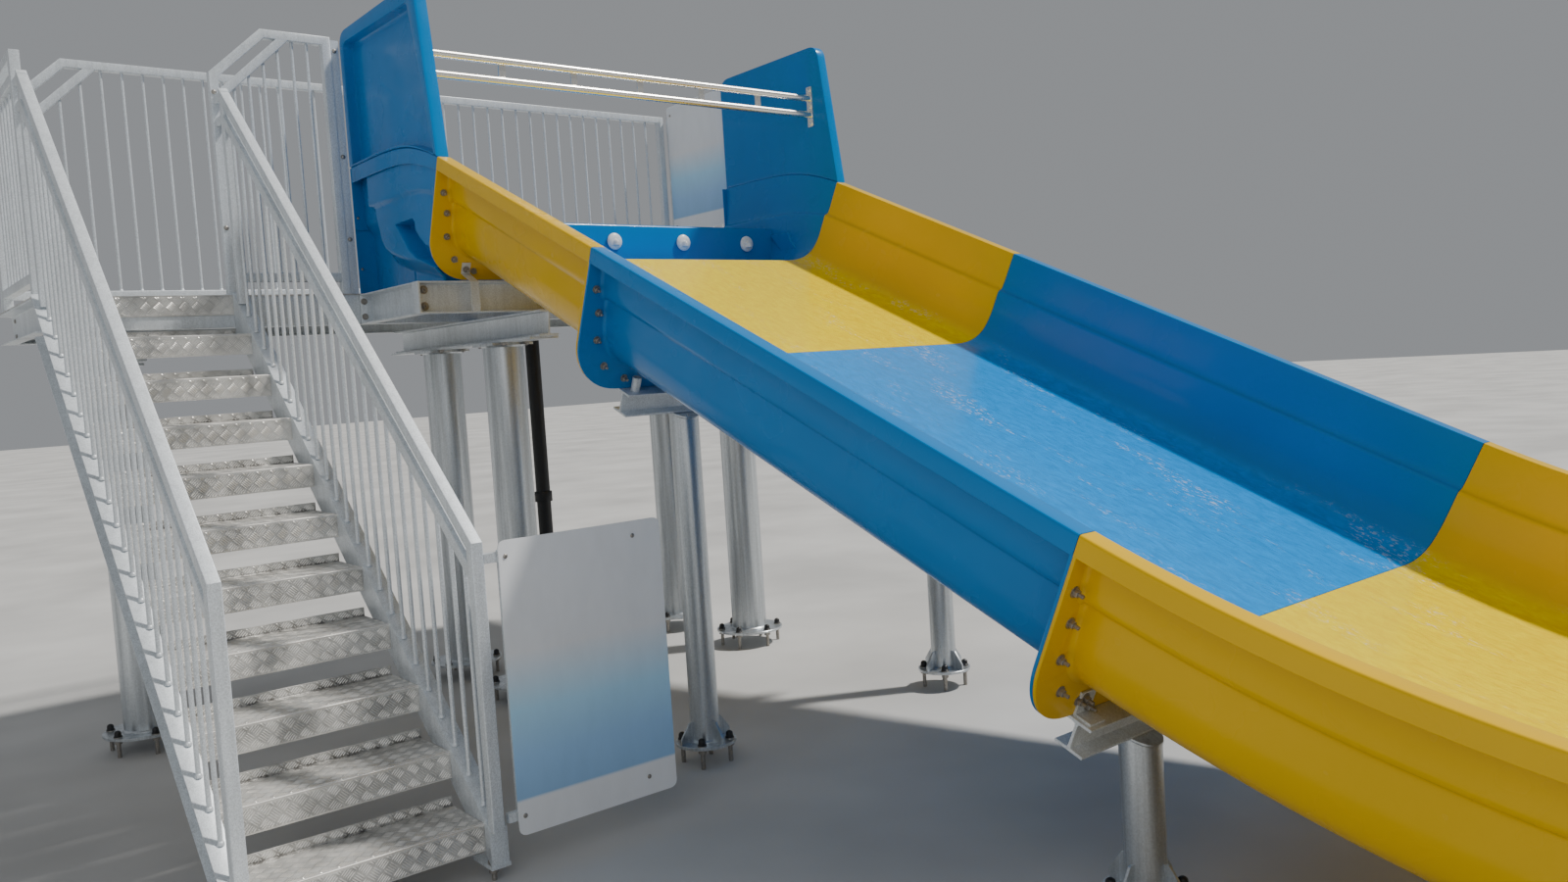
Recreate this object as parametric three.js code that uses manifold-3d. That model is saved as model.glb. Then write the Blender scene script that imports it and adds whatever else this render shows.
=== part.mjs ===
// Water slide tower: an open steel stair, a railed platform, a start tub between two wing panels
// and a wide four-section slide that runs out near the ground. Millimetres, +Z up, +X across,
// +Y away from the slide's run-out.
import * as THREE from "three";
import { mergeVertices } from "three/addons/utils/BufferGeometryUtils.js";
import Module from "manifold-3d";

const wasm = await Module();
wasm.setup();

// Stair. The deck's front edge is at y = 0 and the right stringer's inner face at x = 0.
const RISE = 185;
const GOING = 220;
const RISERS = 11;
const DECK_Z = RISE * RISERS;
const STAIR_WIDTH = 715;
const TREAD_DEPTH = 240;
const TREAD_FOLD = 90;
const TREAD_LIP = 32;
const PLATE = 5;
const STRINGER_FLANGE = 60;
const STRINGER_ABOVE = 12;
const STRINGER_FRONT = -2235;
const FOOT_TOP = 52;

// Platform.
const DECK_LEFT = -STAIR_WIDTH - STRINGER_FLANGE;
const DECK_RIGHT = 3110;
const DECK_DEPTH = 990;
const BEAM_H = 140;
const BEAM_TOP = DECK_Z - PLATE - 0.3;
const CAP_H = 120;
const CAP_TOP = BEAM_TOP - BEAM_H - 0.3;

// Railings and fences.
const TUBE = 40;
const RAIL_ABOVE = 945;
const SECOND_RAIL = 93;
const LOW_FENCE = 1000;
const HIGH_FENCE = 1205;
const BAR_PITCH = 92;
const BAR_R = 7;
const STAIR_BAR_R = 6.5;

// Slide. Section joints are square to the slope; heights in the section are above its floor.
const SLIDE_X = 1840;
const SLOPE = THREE.MathUtils.degToRad(23.5);
const SKIN = 8;
const RIM_H = 446;
const RIM_OUT = 1186;
const LIP = 58;
const FLANGE_BELOW = 103;
const FLANGE_CORNER = 190;
const START_Y = -628;
const START_Z = 2140;
const LENGTH_1 = 1315;
const LENGTH_2 = 2218;
const LENGTH_3 = 2050;
const LENGTH_4 = 1917;
const BEND_STEPS = 12;
// The skins stop this far from a joint's plane, and the flange plates almost reach it.
const SEAM = 1.2;
const FLANGE_OVER = 4;
// Half of the trough's inner face: [across, up].
const INNER = [
  [0, 0],
  [915, 0],
  [975, 6],
  [1030, 26],
  [1068, 62],
  [1086, 105],
  [1094, 150],
  [1102, 248],
  [1126, 284],
  [1136, RIM_H],
];

// Tub, wings and what stands round them.
const LEDGE_TOP = 2362;
const LEDGE_FRONT = -266;
const TUB_BACK = 200;
const WING_TOP = 3321;
const FRAME_FRONT = -693;
const FRAME_LEFT = 570;

// Supports.
const TOWER_R = 97;
const LEG_R = 58;
const SUPPORT_HALF = 700;
const BASE_UNDER = 80;
const BASE_TOP = 92;
const GAP = 0.3;

const steel = { color: 0xa7adb2, roughness: 0.5, metalness: 0.75 };
const chequer = { color: 0x9b9d9c, roughness: 0.42, metalness: 0.8 };
const stainless = { color: 0xc9cbcd, roughness: 0.2, metalness: 0.95 };
const yellow = { color: 0xf0c814, roughness: 0.3, metalness: 0 };
const blue = { color: 0x0b66b4, roughness: 0.3, metalness: 0 };
const white = { color: 0xf1f2f0, roughness: 0.4, metalness: 0 };
const black = { color: 0x17191b, roughness: 0.6, metalness: 0 };
const boardWhite = { color: 0xdfe4e8, roughness: 0.5, metalness: 0 };

const root = new THREE.Group();
root.name = "water_slide_tower";
const frame = new THREE.Group();
frame.name = "plan_frame";
root.add(frame);

function addPart(name, geometry, look) {
  const flat = geometry.index ? geometry.toNonIndexed() : geometry;
  flat.computeVertexNormals();
  const mesh = new THREE.Mesh(flat, new THREE.MeshStandardMaterial(look));
  mesh.name = name;
  frame.add(mesh);
  return mesh;
}

function manifoldOf(geometry) {
  const bare = geometry.index ? geometry.toNonIndexed() : geometry.clone();
  bare.deleteAttribute("normal");
  bare.deleteAttribute("uv");
  const merged = mergeVertices(bare, 1e-3);
  const mesh = new wasm.Mesh({
    numProp: 3,
    vertProperties: new Float32Array(merged.attributes.position.array),
    triVerts: new Uint32Array(merged.index.array),
  });
  return new wasm.Manifold(mesh);
}

function geometryOf(solid) {
  const mesh = solid.getMesh();
  const geometry = new THREE.BufferGeometry();
  geometry.setAttribute("position", new THREE.BufferAttribute(new Float32Array(mesh.vertProperties), 3));
  geometry.setIndex(new THREE.BufferAttribute(new Uint32Array(mesh.triVerts), 1));
  return geometry.toNonIndexed();
}

// One closed body out of overlapping pieces, less the cutters.
function fuse(pieces, cutters = []) {
  let whole = manifoldOf(pieces[0]);
  for (const piece of pieces.slice(1)) {
    whole = whole.add(manifoldOf(piece));
  }
  for (const cutter of cutters) {
    whole = whole.subtract(manifoldOf(cutter));
  }
  return geometryOf(whole);
}

function box(x0, x1, y0, y1, z0, z1) {
  const geometry = new THREE.BoxGeometry(x1 - x0, y1 - y0, z1 - z0);
  return geometry.translate((x0 + x1) / 2, (y0 + y1) / 2, (z0 + z1) / 2);
}

function cylinder(from, to, radius, segments = 24) {
  const a = new THREE.Vector3(...from);
  const b = new THREE.Vector3(...to);
  const axis = b.clone().sub(a);
  const geometry = new THREE.CylinderGeometry(radius, radius, axis.length(), segments);
  const turn = new THREE.Quaternion().setFromUnitVectors(
    new THREE.Vector3(0, 1, 0),
    axis.clone().normalize(),
  );
  geometry.applyQuaternion(turn);
  const middle = a.add(b).multiplyScalar(0.5);
  return geometry.translate(middle.x, middle.y, middle.z);
}

function ball(x, y, z, radius) {
  return new THREE.SphereGeometry(radius, 20, 14).translate(x, y, z);
}

function shapeOf(points, hole) {
  const shape = new THREE.Shape(points.map(([a, b]) => new THREE.Vector2(a, b)));
  if (hole) {
    shape.holes.push(new THREE.Path(hole.map(([a, b]) => new THREE.Vector2(a, b))));
  }
  return shape;
}

// A [y, z] outline carried along X.
function alongX(points, x0, x1, hole) {
  const geometry = new THREE.ExtrudeGeometry(shapeOf(points, hole), { depth: x1 - x0, bevelEnabled: false });
  const basis = new THREE.Matrix4().makeBasis(
    new THREE.Vector3(0, 1, 0),
    new THREE.Vector3(0, 0, 1),
    new THREE.Vector3(1, 0, 0),
  );
  return geometry.applyMatrix4(basis).translate(x0, 0, 0);
}

// An [x, z] outline carried along Y.
function alongY(points, y0, y1) {
  const geometry = new THREE.ExtrudeGeometry(shapeOf(points), { depth: y1 - y0, bevelEnabled: false });
  const basis = new THREE.Matrix4().makeBasis(
    new THREE.Vector3(1, 0, 0),
    new THREE.Vector3(0, 0, 1),
    new THREE.Vector3(0, -1, 0),
  );
  return geometry.applyMatrix4(basis).translate(0, y1, 0);
}

function mirrorAcrossSlide(x) {
  return 2 * SLIDE_X - x;
}

// A rolled channel's [across, up] outline: web at 0, flanges to `width`.
function channelOutline(width, height, web, flange) {
  return [
    [0, 0],
    [width, 0],
    [width, flange],
    [web, flange],
    [web, height - flange],
    [width, height - flange],
    [width, height],
    [0, height],
  ];
}

function moved(points, a, b, flip = 1) {
  return points.map(([p, q]) => [a + flip * p, b + q]);
}

function addStair() {
  const nosing = (y) => DECK_Z + (y * RISE) / GOING;
  const depth = BEAM_H / Math.cos(Math.atan2(RISE, GOING));
  const top = (y) => nosing(y) + STRINGER_ABOVE;

  for (let k = 1; k < RISERS; k++) {
    const y = -k * GOING;
    const z = DECK_Z - k * RISE;
    const outline = [
      [y, z - TREAD_FOLD],
      [y + PLATE, z - TREAD_FOLD],
      [y + PLATE, z - PLATE],
      [y + TREAD_DEPTH, z - PLATE],
      [y + TREAD_DEPTH, z + TREAD_LIP],
      [y + TREAD_DEPTH - PLATE, z + TREAD_LIP],
      [y + TREAD_DEPTH - PLATE, z],
      [y, z],
    ];
    const name = "stair_tread_" + String(k + 1).padStart(2, "0");
    addPart(name, alongX(outline, -STAIR_WIDTH + GAP, -GAP), chequer);
  }

  const back = -0.5;
  const front = STRINGER_FRONT;
  const band = (from, to) => [
    [front, top(front) + from],
    [front, top(front) + to],
    [back, top(back) + to],
    [back, top(back) + from],
  ];
  const lowCorner = ((FOOT_TOP + depth - STRINGER_ABOVE - DECK_Z) * GOING) / RISE;
  // The web stays a little inside both flanges, and both run a little way into the foot plate.
  const lowStart = lowCorner - 6;
  const web = [
    [front + 2, FOOT_TOP - 4],
    [lowCorner - 9 * (GOING / RISE), FOOT_TOP - 4],
    [back, top(back) - depth + 5],
    [back, top(back) - 5],
    [front + 2, top(front + 2) - 5],
  ];
  for (const side of [
    { name: "right", x: 0, turn: 1 },
    { name: "left", x: -STAIR_WIDTH, turn: -1 },
  ]) {
    const span = (from, to) => [
      Math.min(side.x + side.turn * from, side.x + side.turn * to),
      Math.max(side.x + side.turn * from, side.x + side.turn * to),
    ];
    const [webLow, webHigh] = span(0, 7);
    const [flangeLow, flangeHigh] = span(0, STRINGER_FLANGE);
    const middle = (flangeLow + flangeHigh) / 2;
    const lower = [
      [lowStart, top(lowStart) - depth],
      [back, top(back) - depth],
      [back, top(back) - depth + 12],
      [lowStart, top(lowStart) - depth + 12],
    ];
    const pieces = [
      alongX(web, webLow, webHigh),
      alongX(band(-12, 0), flangeLow, flangeHigh),
      alongX(lower, flangeLow, flangeHigh),
      box(flangeLow, flangeHigh, front, front + 7, FOOT_TOP - 4, top(front) - 4),
      box(flangeLow - 4, flangeHigh + 4, front - 4, front + 130, 40, FOOT_TOP),
      cylinder([middle - 16, front + 22, 0], [middle - 16, front + 22, FOOT_TOP + 30], 8, 12),
      cylinder([middle + 16, front + 104, 0], [middle + 16, front + 104, FOOT_TOP + 30], 8, 12),
    ];
    addPart("stair_stringer_" + side.name, fuse(pieces), steel);

    // Handrail, second rail, end posts and upright bars.
    const [railLow, railHigh] = span(2, 2 + TUBE);
    const bar = (railLow + railHigh) / 2;
    const tall = TUBE / Math.cos(Math.atan2(RISE, GOING));
    const railFront = front - 25;
    const railBack = -5;
    const rail = (above) => [
      [railFront, nosing(railFront) + above - tall],
      [railFront, nosing(railFront) + above],
      [railBack, nosing(railBack) + above],
      [railBack, nosing(railBack) + above - tall],
    ];
    const post = (y0, y1, toFront) => [
      [y0, nosing(y0) - 10],
      [y1, nosing(y1) - 10],
      [y1, nosing(toFront ? y1 : y0) + RAIL_ABOVE - 30],
      [y0, nosing(y0) + RAIL_ABOVE - 30],
    ];
    const railing = [
      alongX(rail(RAIL_ABOVE), railLow, railHigh),
      alongX(rail(RAIL_ABOVE - SECOND_RAIL), railLow, railHigh),
      alongX(post(railFront, railFront + TUBE, true), railLow, railHigh),
      alongX(post(railBack - TUBE, railBack, false), railLow, railHigh),
    ];
    const first = railFront + TUBE + 60;
    const bars = Math.floor((railBack - TUBE - 40 - first) / BAR_PITCH);
    for (let i = 0; i <= bars; i++) {
      const y = first + i * BAR_PITCH;
      const high = nosing(y) + RAIL_ABOVE - SECOND_RAIL - tall / 2;
      railing.push(cylinder([bar, y, nosing(y) - 10], [bar, y, high], STAIR_BAR_R, 8));
    }
    const under = [
      [front - 100, top(front - 100) + GAP],
      [50, top(50) + GAP],
      [50, 1000],
      [front - 100, -600],
    ];
    const cutters = [alongX(under, railLow - 20, railHigh + 20)];
    cutters.push(box(railLow - 20, railHigh + 20, front - 100, front - GAP - 5, 0, 60));
    addPart("stair_railing_" + side.name, fuse(railing, cutters), steel);
  }
}

// A fence panel in its own [along, up] plane from 0 to `length`, 40 mm thick about 0.
// `steps` says how far the low left end runs before the rails climb to the full height.
function fencePanel({ length, height, low = 0, flat = 0, second = false, pitch = BAR_PITCH }) {
  const half = TUBE / 2;
  const slab = (points) => {
    const geometry = new THREE.ExtrudeGeometry(shapeOf(points), { depth: TUBE, bevelEnabled: false });
    const basis = new THREE.Matrix4().makeBasis(
      new THREE.Vector3(1, 0, 0),
      new THREE.Vector3(0, 0, 1),
      new THREE.Vector3(0, -1, 0),
    );
    return geometry.applyMatrix4(basis).translate(0, half, 0);
  };
  const slant = 215 / 205;
  const climb = low ? (height - low) * slant : 0;
  const pieces = [];
  let under = () => height - half;
  if (low) {
    const foot = flat;
    const head = flat + climb;
    const inner = head + 107;
    const innerFoot = inner - (height - low + SECOND_RAIL) * slant;
    pieces.push(slab([
      [0, low - TUBE],
      [foot + 16, low - TUBE],
      [head + 16, height - TUBE],
      [length, height - TUBE],
      [length, height],
      [head, height],
      [foot, low],
      [0, low],
    ]));
    const secondLow = low - SECOND_RAIL;
    const start = Math.max(innerFoot, 1);
    const startUp = secondLow + (start - innerFoot) / slant;
    pieces.push(slab([
      [0, startUp - TUBE - 6],
      [start + 17, startUp - TUBE - 6],
      [inner + 17, height - TUBE - 2],
      [inner, height - 3],
      [start, startUp],
      [0, startUp],
    ]));
    under = (u) => {
      if (u > inner + 12) {
        return height - half;
      }
      return Math.max(secondLow + (u - innerFoot) / slant, Math.min(secondLow, startUp)) - 30;
    };
  } else {
    pieces.push(slab([[0, height - TUBE], [length, height - TUBE], [length, height], [0, height]]));
  }
  if (second) {
    const up = height - SECOND_RAIL;
    pieces.push(slab([[0, up - TUBE], [length, up - TUBE], [length, up], [0, up]]));
    under = () => up - half;
  }
  pieces.push(slab([[0, 60], [length, 60], [length, 100], [0, 100]]));
  pieces.push(box(0, TUBE, -half, half, GAP, (low || height) - 6));
  pieces.push(box(length - TUBE, length, -half, half, GAP, height - 6));
  const run = length - 2 * TUBE;
  const count = Math.max(1, Math.round(run / pitch) - 1);
  for (let i = 1; i <= count; i++) {
    const u = TUBE + (run * i) / (count + 1);
    pieces.push(cylinder([u, 0, 80], [u, 0, under(u)], BAR_R, 8));
  }
  return pieces;
}

function place(pieces, x, y, z, turned) {
  const matrix = new THREE.Matrix4();
  if (turned) {
    matrix.makeRotationZ(Math.PI / 2);
  }
  matrix.setPosition(x, y, z);
  return pieces.map((piece) => piece.applyMatrix4(matrix));
}

function addPlatform() {
  const fold = box(-STAIR_WIDTH + GAP, -GAP, 0, PLATE, DECK_Z - TREAD_FOLD, DECK_Z - 1);
  const plate = box(DECK_LEFT, DECK_RIGHT, 0, DECK_DEPTH, DECK_Z - PLATE, DECK_Z);
  addPart("platform_deck", fuse([plate, fold]), chequer);

  const low = BEAM_TOP - BEAM_H;
  const outline = channelOutline(STRINGER_FLANGE, BEAM_H, 7, 10);
  const across = [DECK_LEFT + STRINGER_FLANGE + GAP, DECK_RIGHT - STRINGER_FLANGE - GAP];
  const front = alongX(moved(outline, 6, low), ...across);
  const back = alongX(moved(outline, DECK_DEPTH, low, -1), ...across);
  addPart("platform_beam_front", front, steel);
  addPart("platform_beam_back", back, steel);
  const left = alongY(moved(outline, DECK_LEFT + STRINGER_FLANGE, low, -1), 6, DECK_DEPTH);
  const right = alongY(moved(outline, DECK_RIGHT - STRINGER_FLANGE, low), 6, DECK_DEPTH);
  addPart("platform_beam_left", left, steel);
  addPart("platform_beam_right", right, steel);

  const fenceLeft = fencePanel({ length: 878, height: LOW_FENCE, second: true });
  addPart("fence_left", fuse(place(fenceLeft, -745, 20, DECK_Z, true)), steel);
  const fenceBack = fencePanel({ length: 3785, height: HIGH_FENCE, low: LOW_FENCE, flat: 110 });
  addPart("fence_back", fuse(place(fenceBack, -765, 920, DECK_Z, false)), steel);
  const fenceFront = fencePanel({
    length: 551, height: HIGH_FENCE, low: LOW_FENCE, flat: 12, pitch: 67,
  });
  const flatBar = box(545, 593, -8, -2, GAP, HIGH_FENCE - 10);
  addPart("fence_front", fuse(place([...fenceFront, flatBar], -10, 40, DECK_Z, false)), steel);
  const fenceRight = fencePanel({ length: 838, height: HIGH_FENCE });
  addPart("fence_right", fuse(place(fenceRight, 3062, 60, DECK_Z, true)), steel);
}

function addTubFrame() {
  const low = BEAM_TOP - BEAM_H;
  const outline = channelOutline(STRINGER_FLANGE, BEAM_H, 7, 10);
  const webX = FRAME_LEFT + STRINGER_FLANGE;
  const frontInner = FRAME_FRONT + STRINGER_FLANGE;
  const left = alongY(moved(outline, webX, low, -1), frontInner + GAP, -GAP);
  const right = alongY(moved(outline, mirrorAcrossSlide(webX), low), frontInner + GAP, -GAP);
  const frontEnds = [
    box(webX - 7, webX, frontInner + GAP, frontInner + 7, low + 2, BEAM_TOP - 2),
    box(FRAME_LEFT, webX, frontInner + GAP, frontInner + 8, low, BEAM_TOP),
    box(FRAME_LEFT, webX, -8, -GAP, low, BEAM_TOP),
  ];
  addPart("tub_frame_left", fuse([left, ...frontEnds]), steel);
  const mirrored = [
    box(mirrorAcrossSlide(webX), mirrorAcrossSlide(FRAME_LEFT), frontInner + GAP, frontInner + 8, low, BEAM_TOP),
    box(mirrorAcrossSlide(webX), mirrorAcrossSlide(FRAME_LEFT), -8, -GAP, low, BEAM_TOP),
  ];
  addPart("tub_frame_right", fuse([right, ...mirrored]), steel);

  const front = [alongX(moved(outline, frontInner, low, -1), FRAME_LEFT, mirrorAcrossSlide(FRAME_LEFT))];
  for (const end of [[FRAME_LEFT, FRAME_LEFT + 8], [mirrorAcrossSlide(FRAME_LEFT + 8), mirrorAcrossSlide(FRAME_LEFT)]]) {
    front.push(box(...end, FRAME_FRONT, frontInner, low, BEAM_TOP));
  }
  // Straps that tie the first slide flange down to the channel.
  const d = [-Math.cos(SLOPE), -Math.sin(SLOPE)];
  const n = [-Math.sin(SLOPE), Math.cos(SLOPE)];
  const at = (up, along) => [
    START_Y + d[0] * along + n[0] * up,
    START_Z + d[1] * along + n[1] * up,
  ];
  const face = 10.15 + GAP;
  const strap = [
    [FRAME_FRONT + 1, low + 4],
    [FRAME_FRONT + 1, BEAM_TOP + 12],
    at(-86, face),
    at(-22, face),
    at(-22, face + 6),
    at(-80, face + 6),
    [FRAME_FRONT - 5, BEAM_TOP + 16],
    [FRAME_FRONT - 5, low + 4],
  ];
  for (const x of [870, SLIDE_X - 330, SLIDE_X + 330, mirrorAcrossSlide(870)]) {
    front.push(alongX(strap, x - 20, x + 20));
  }
  addPart("tub_frame_front", fuse(front), steel);
}

// A column on a base plate that stands on anchor studs; `fins` are its gussets.
function column(x, y, top, radius, plateRadius, studs, fins) {
  const pieces = [
    cylinder([x, y, BASE_TOP - 2], [x, y, top - 4], radius, 24),
    cylinder([x, y, BASE_UNDER], [x, y, BASE_TOP], plateRadius, 24),
    box(x - radius - 12, x + radius + 12, y - radius - 12, y + radius + 12, top - 12, top),
  ];
  for (let i = 0; i < studs; i++) {
    const angle = ((i + 0.5) * 2 * Math.PI) / studs;
    const sx = x + Math.cos(angle) * (plateRadius - 26);
    const sy = y + Math.sin(angle) * (plateRadius - 26);
    pieces.push(cylinder([sx, sy, 0], [sx, sy, BASE_TOP + 6], 9, 8));
    pieces.push(cylinder([sx, sy, BASE_TOP - 1], [sx, sy, BASE_TOP + 30], 15, 10));
  }
  for (let i = 0; i < fins; i++) {
    const fin = alongX(
      [
        [radius - 6, BASE_TOP - 2],
        [plateRadius - 4, BASE_TOP - 2],
        [plateRadius - 4, BASE_TOP + 26],
        [radius + 16, BASE_TOP + 84],
        [radius - 6, BASE_TOP + 84],
      ],
      -4,
      4,
    );
    fin.rotateZ((i * 2 * Math.PI) / fins);
    pieces.push(fin.translate(x, y, 0));
  }
  return fuse(pieces);
}

function addTower() {
  const iBeam = (x, low, height, width) => [
    [x - width / 2, low],
    [x + width / 2, low],
    [x + width / 2, low + 10],
    [x + 4, low + 10],
    [x + 4, low + height - 10],
    [x + width / 2, low + height - 10],
    [x + width / 2, low + height],
    [x - width / 2, low + height],
    [x - width / 2, low + height - 10],
    [x - 4, low + height - 10],
    [x - 4, low + 10],
    [x - width / 2, low + 10],
  ];
  const low = CAP_TOP - CAP_H;
  const plateLow = low - 10;
  for (const cap of [
    { name: "stair", x: -430, y0: 60, ahead: 18 },
    { name: "left", x: SLIDE_X - SUPPORT_HALF, y0: -790, ahead: 58 },
    { name: "right", x: SLIDE_X + SUPPORT_HALF, y0: -790, ahead: 58 },
  ]) {
    const beam = alongY(iBeam(cap.x, low, CAP_H, 100), cap.y0, 905);
    const plate = box(cap.x - 75, cap.x + 75, cap.y0 - cap.ahead, 915, plateLow, low + 1);
    addPart("cap_beam_" + cap.name, fuse([beam, plate]), steel);
  }
  const top = plateLow - GAP;
  for (const spot of [
    { name: "stair", x: -430, y: 400 },
    { name: "back_left", x: SLIDE_X - SUPPORT_HALF, y: 400 },
    { name: "back_right", x: SLIDE_X + SUPPORT_HALF, y: 400 },
    { name: "front_left", x: SLIDE_X - SUPPORT_HALF, y: -310 },
    { name: "front_right", x: SLIDE_X + SUPPORT_HALF, y: -310 },
  ]) {
    addPart("tower_column_" + spot.name, column(spot.x, spot.y, top, TOWER_R, 185, 6, 0), steel);
  }
}

function offsetOut(points, distance) {
  return points.map((point, i) => {
    const before = points[Math.max(i - 1, 0)];
    const after = points[Math.min(i + 1, points.length - 1)];
    const turns = [];
    if (i > 0) {
      turns.push([point[0] - before[0], point[1] - before[1]]);
    }
    if (i < points.length - 1) {
      turns.push([after[0] - point[0], after[1] - point[1]]);
    }
    const normals = turns.map(([a, b]) => {
      const length = Math.hypot(a, b);
      return [b / length, -a / length];
    });
    const sum = normals.reduce(([p, q], [a, b]) => [p + a, q + b], [0, 0]);
    const size = Math.hypot(...sum);
    const unit = [sum[0] / size, sum[1] / size];
    const grow = distance / (unit[0] * normals[0][0] + unit[1] * normals[0][1]);
    return [point[0] + unit[0] * grow, point[1] + unit[1] * grow];
  });
}

function bothHalves(right) {
  const left = right
    .filter(([a]) => a > 0)
    .map(([a, b]) => [-a, b])
    .reverse();
  return [...right, ...left];
}

// The trough's closed outline: the outer skin, the right rim, the inner face and the left rim.
function troughRing() {
  const outer = offsetOut(INNER, SKIN);
  outer[0] = [0, -SKIN];
  outer[outer.length - 1] = [outer[outer.length - 1][0], RIM_H - SKIN];
  const rightOut = [
    ...outer,
    [RIM_OUT - SKIN, RIM_H - SKIN],
    [RIM_OUT - SKIN, RIM_H - LIP],
    [RIM_OUT, RIM_H - LIP],
    [RIM_OUT, RIM_H],
  ];
  const rightIn = [...INNER].reverse();
  const right = [...rightOut, ...rightIn];
  const leftIn = INNER.slice(1).map(([a, b]) => [-a, b]);
  const leftOut = [...rightOut].reverse().slice(0, -1).map(([a, b]) => [-a, b]);
  return [...right, ...leftIn, ...leftOut];
}

// The plate round a section's end: the trough's wall line inside, rounded corners outside.
function flangeOutline(below) {
  const wall = offsetOut(INNER, SKIN / 2);
  wall[0] = [0, -SKIN / 2];
  wall[wall.length - 1] = [wall[wall.length - 1][0], RIM_H - 4];
  const half = RIM_OUT + FLANGE_OVER;
  const outside = [[0, -below], [half - FLANGE_CORNER, -below]];
  for (let i = 1; i <= 8; i++) {
    const angle = -Math.PI / 2 + (i * Math.PI) / 16;
    outside.push([
      half - FLANGE_CORNER + FLANGE_CORNER * Math.cos(angle),
      -below + FLANGE_CORNER + FLANGE_CORNER * Math.sin(angle),
    ]);
  }
  outside.push([half, RIM_H - 4]);
  const right = [...outside, ...wall.reverse()];
  const left = right
    .slice(1, -1)
    .map(([a, b]) => [-a, b])
    .reverse();
  return [...right, ...left];
}

// A closed ring of [across, up] points carried through stations; each station says where the
// floor's middle is, which way is up in its plane and how much taller than the plain trough it is.
function sweep(ring, stations) {
  const count = ring.length;
  const positions = [];
  for (const station of stations) {
    for (const [across, up] of ring) {
      const h = up > 0 ? up * (station.grow || 1) : up;
      positions.push(
        SLIDE_X + across,
        station.y + station.up[0] * h,
        station.z + station.up[1] * h,
      );
    }
  }
  const index = [];
  for (let s = 0; s < stations.length - 1; s++) {
    for (let i = 0; i < count; i++) {
      const a = s * count + i;
      const b = s * count + ((i + 1) % count);
      index.push(a, b, b + count);
      index.push(a, b + count, a + count);
    }
  }
  const contour = ring.map(([a, b]) => new THREE.Vector2(a, b));
  const last = (stations.length - 1) * count;
  for (const [a, b, c] of THREE.ShapeUtils.triangulateShape(contour, [])) {
    index.push(c, b, a);
    index.push(last + a, last + b, last + c);
  }
  const geometry = new THREE.BufferGeometry();
  geometry.setAttribute("position", new THREE.Float32BufferAttribute(positions, 3));
  geometry.setIndex(index);
  return geometry.toNonIndexed();
}

// The slide's centre line: a straight slope, one bend down to level and a level run-out.
function slideLine() {
  const straight = LENGTH_1 + LENGTH_2;
  const radius = LENGTH_3 / SLOPE;
  const bendY = START_Y - straight * Math.cos(SLOPE);
  const bendZ = START_Z - straight * Math.sin(SLOPE);
  return (s) => {
    if (s <= straight) {
      return {
        y: START_Y - s * Math.cos(SLOPE),
        z: START_Z - s * Math.sin(SLOPE),
        up: [-Math.sin(SLOPE), Math.cos(SLOPE)],
        way: [-Math.cos(SLOPE), -Math.sin(SLOPE)],
      };
    }
    const turned = Math.min((s - straight) / radius, SLOPE);
    const angle = SLOPE - turned;
    const after = Math.max(s - straight - LENGTH_3, 0);
    return {
      y: bendY - radius * (Math.sin(SLOPE) - Math.sin(angle)) - after,
      z: bendZ - radius * (Math.cos(angle) - Math.cos(SLOPE)),
      up: [-Math.sin(angle), Math.cos(angle)],
      way: [-Math.cos(angle), -Math.sin(angle)],
    };
  };
}

const line = slideLine();
const PLATE_THICK = 10;

function flangeAt(s, from, to, below = FLANGE_BELOW) {
  const here = line(s);
  const stations = [from, to].map((shift) => ({
    y: here.y + here.way[0] * shift,
    z: here.z + here.way[1] * shift,
    up: here.up,
  }));
  return sweep(flangeOutline(below), stations);
}

function addSlide() {
  const ring = troughRing();
  const lengths = [LENGTH_1, LENGTH_2, LENGTH_3, LENGTH_4];
  const looks = [yellow, blue, yellow, blue];
  let start = 0;
  lengths.forEach((length, i) => {
    const s0 = start + SEAM;
    const s1 = start + length - SEAM;
    const steps = i === 2 ? BEND_STEPS : 1;
    const stations = [];
    for (let k = 0; k <= steps; k++) {
      stations.push(line(s0 + ((s1 - s0) * k) / steps));
    }
    const pieces = [
      sweep(ring, stations),
      flangeAt(start, 0.15, 0.15 + PLATE_THICK),
      flangeAt(start + length, -0.15 - PLATE_THICK, -0.15),
    ];
    addPart("slide_section_" + (i + 1), fuse(pieces), looks[i]);
    start += length;
  });
}

// Rim height along the tub's arched upper edge.
const TUB_STATIONS = [
  { floor: [START_Y, START_Z], rim: null },
  { floor: [-588, 2126], rim: [-742, 2573] },
  { floor: [-545, 2112], rim: [-655, 2602] },
  { floor: [-480, 2104], rim: [-540, 2634] },
  { floor: [-400, 2100], rim: [-400, 2656] },
  { floor: [LEDGE_FRONT - 4, 2098], rim: [LEDGE_FRONT - 4, 2664] },
];

function tubRims() {
  const top = [
    START_Y - Math.sin(SLOPE) * RIM_H,
    START_Z + Math.cos(SLOPE) * RIM_H,
  ];
  return [
    ...TUB_STATIONS.map((station) => station.rim || top),
    [-110, 2667],
    [TUB_BACK, 2666],
  ];
}

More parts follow.
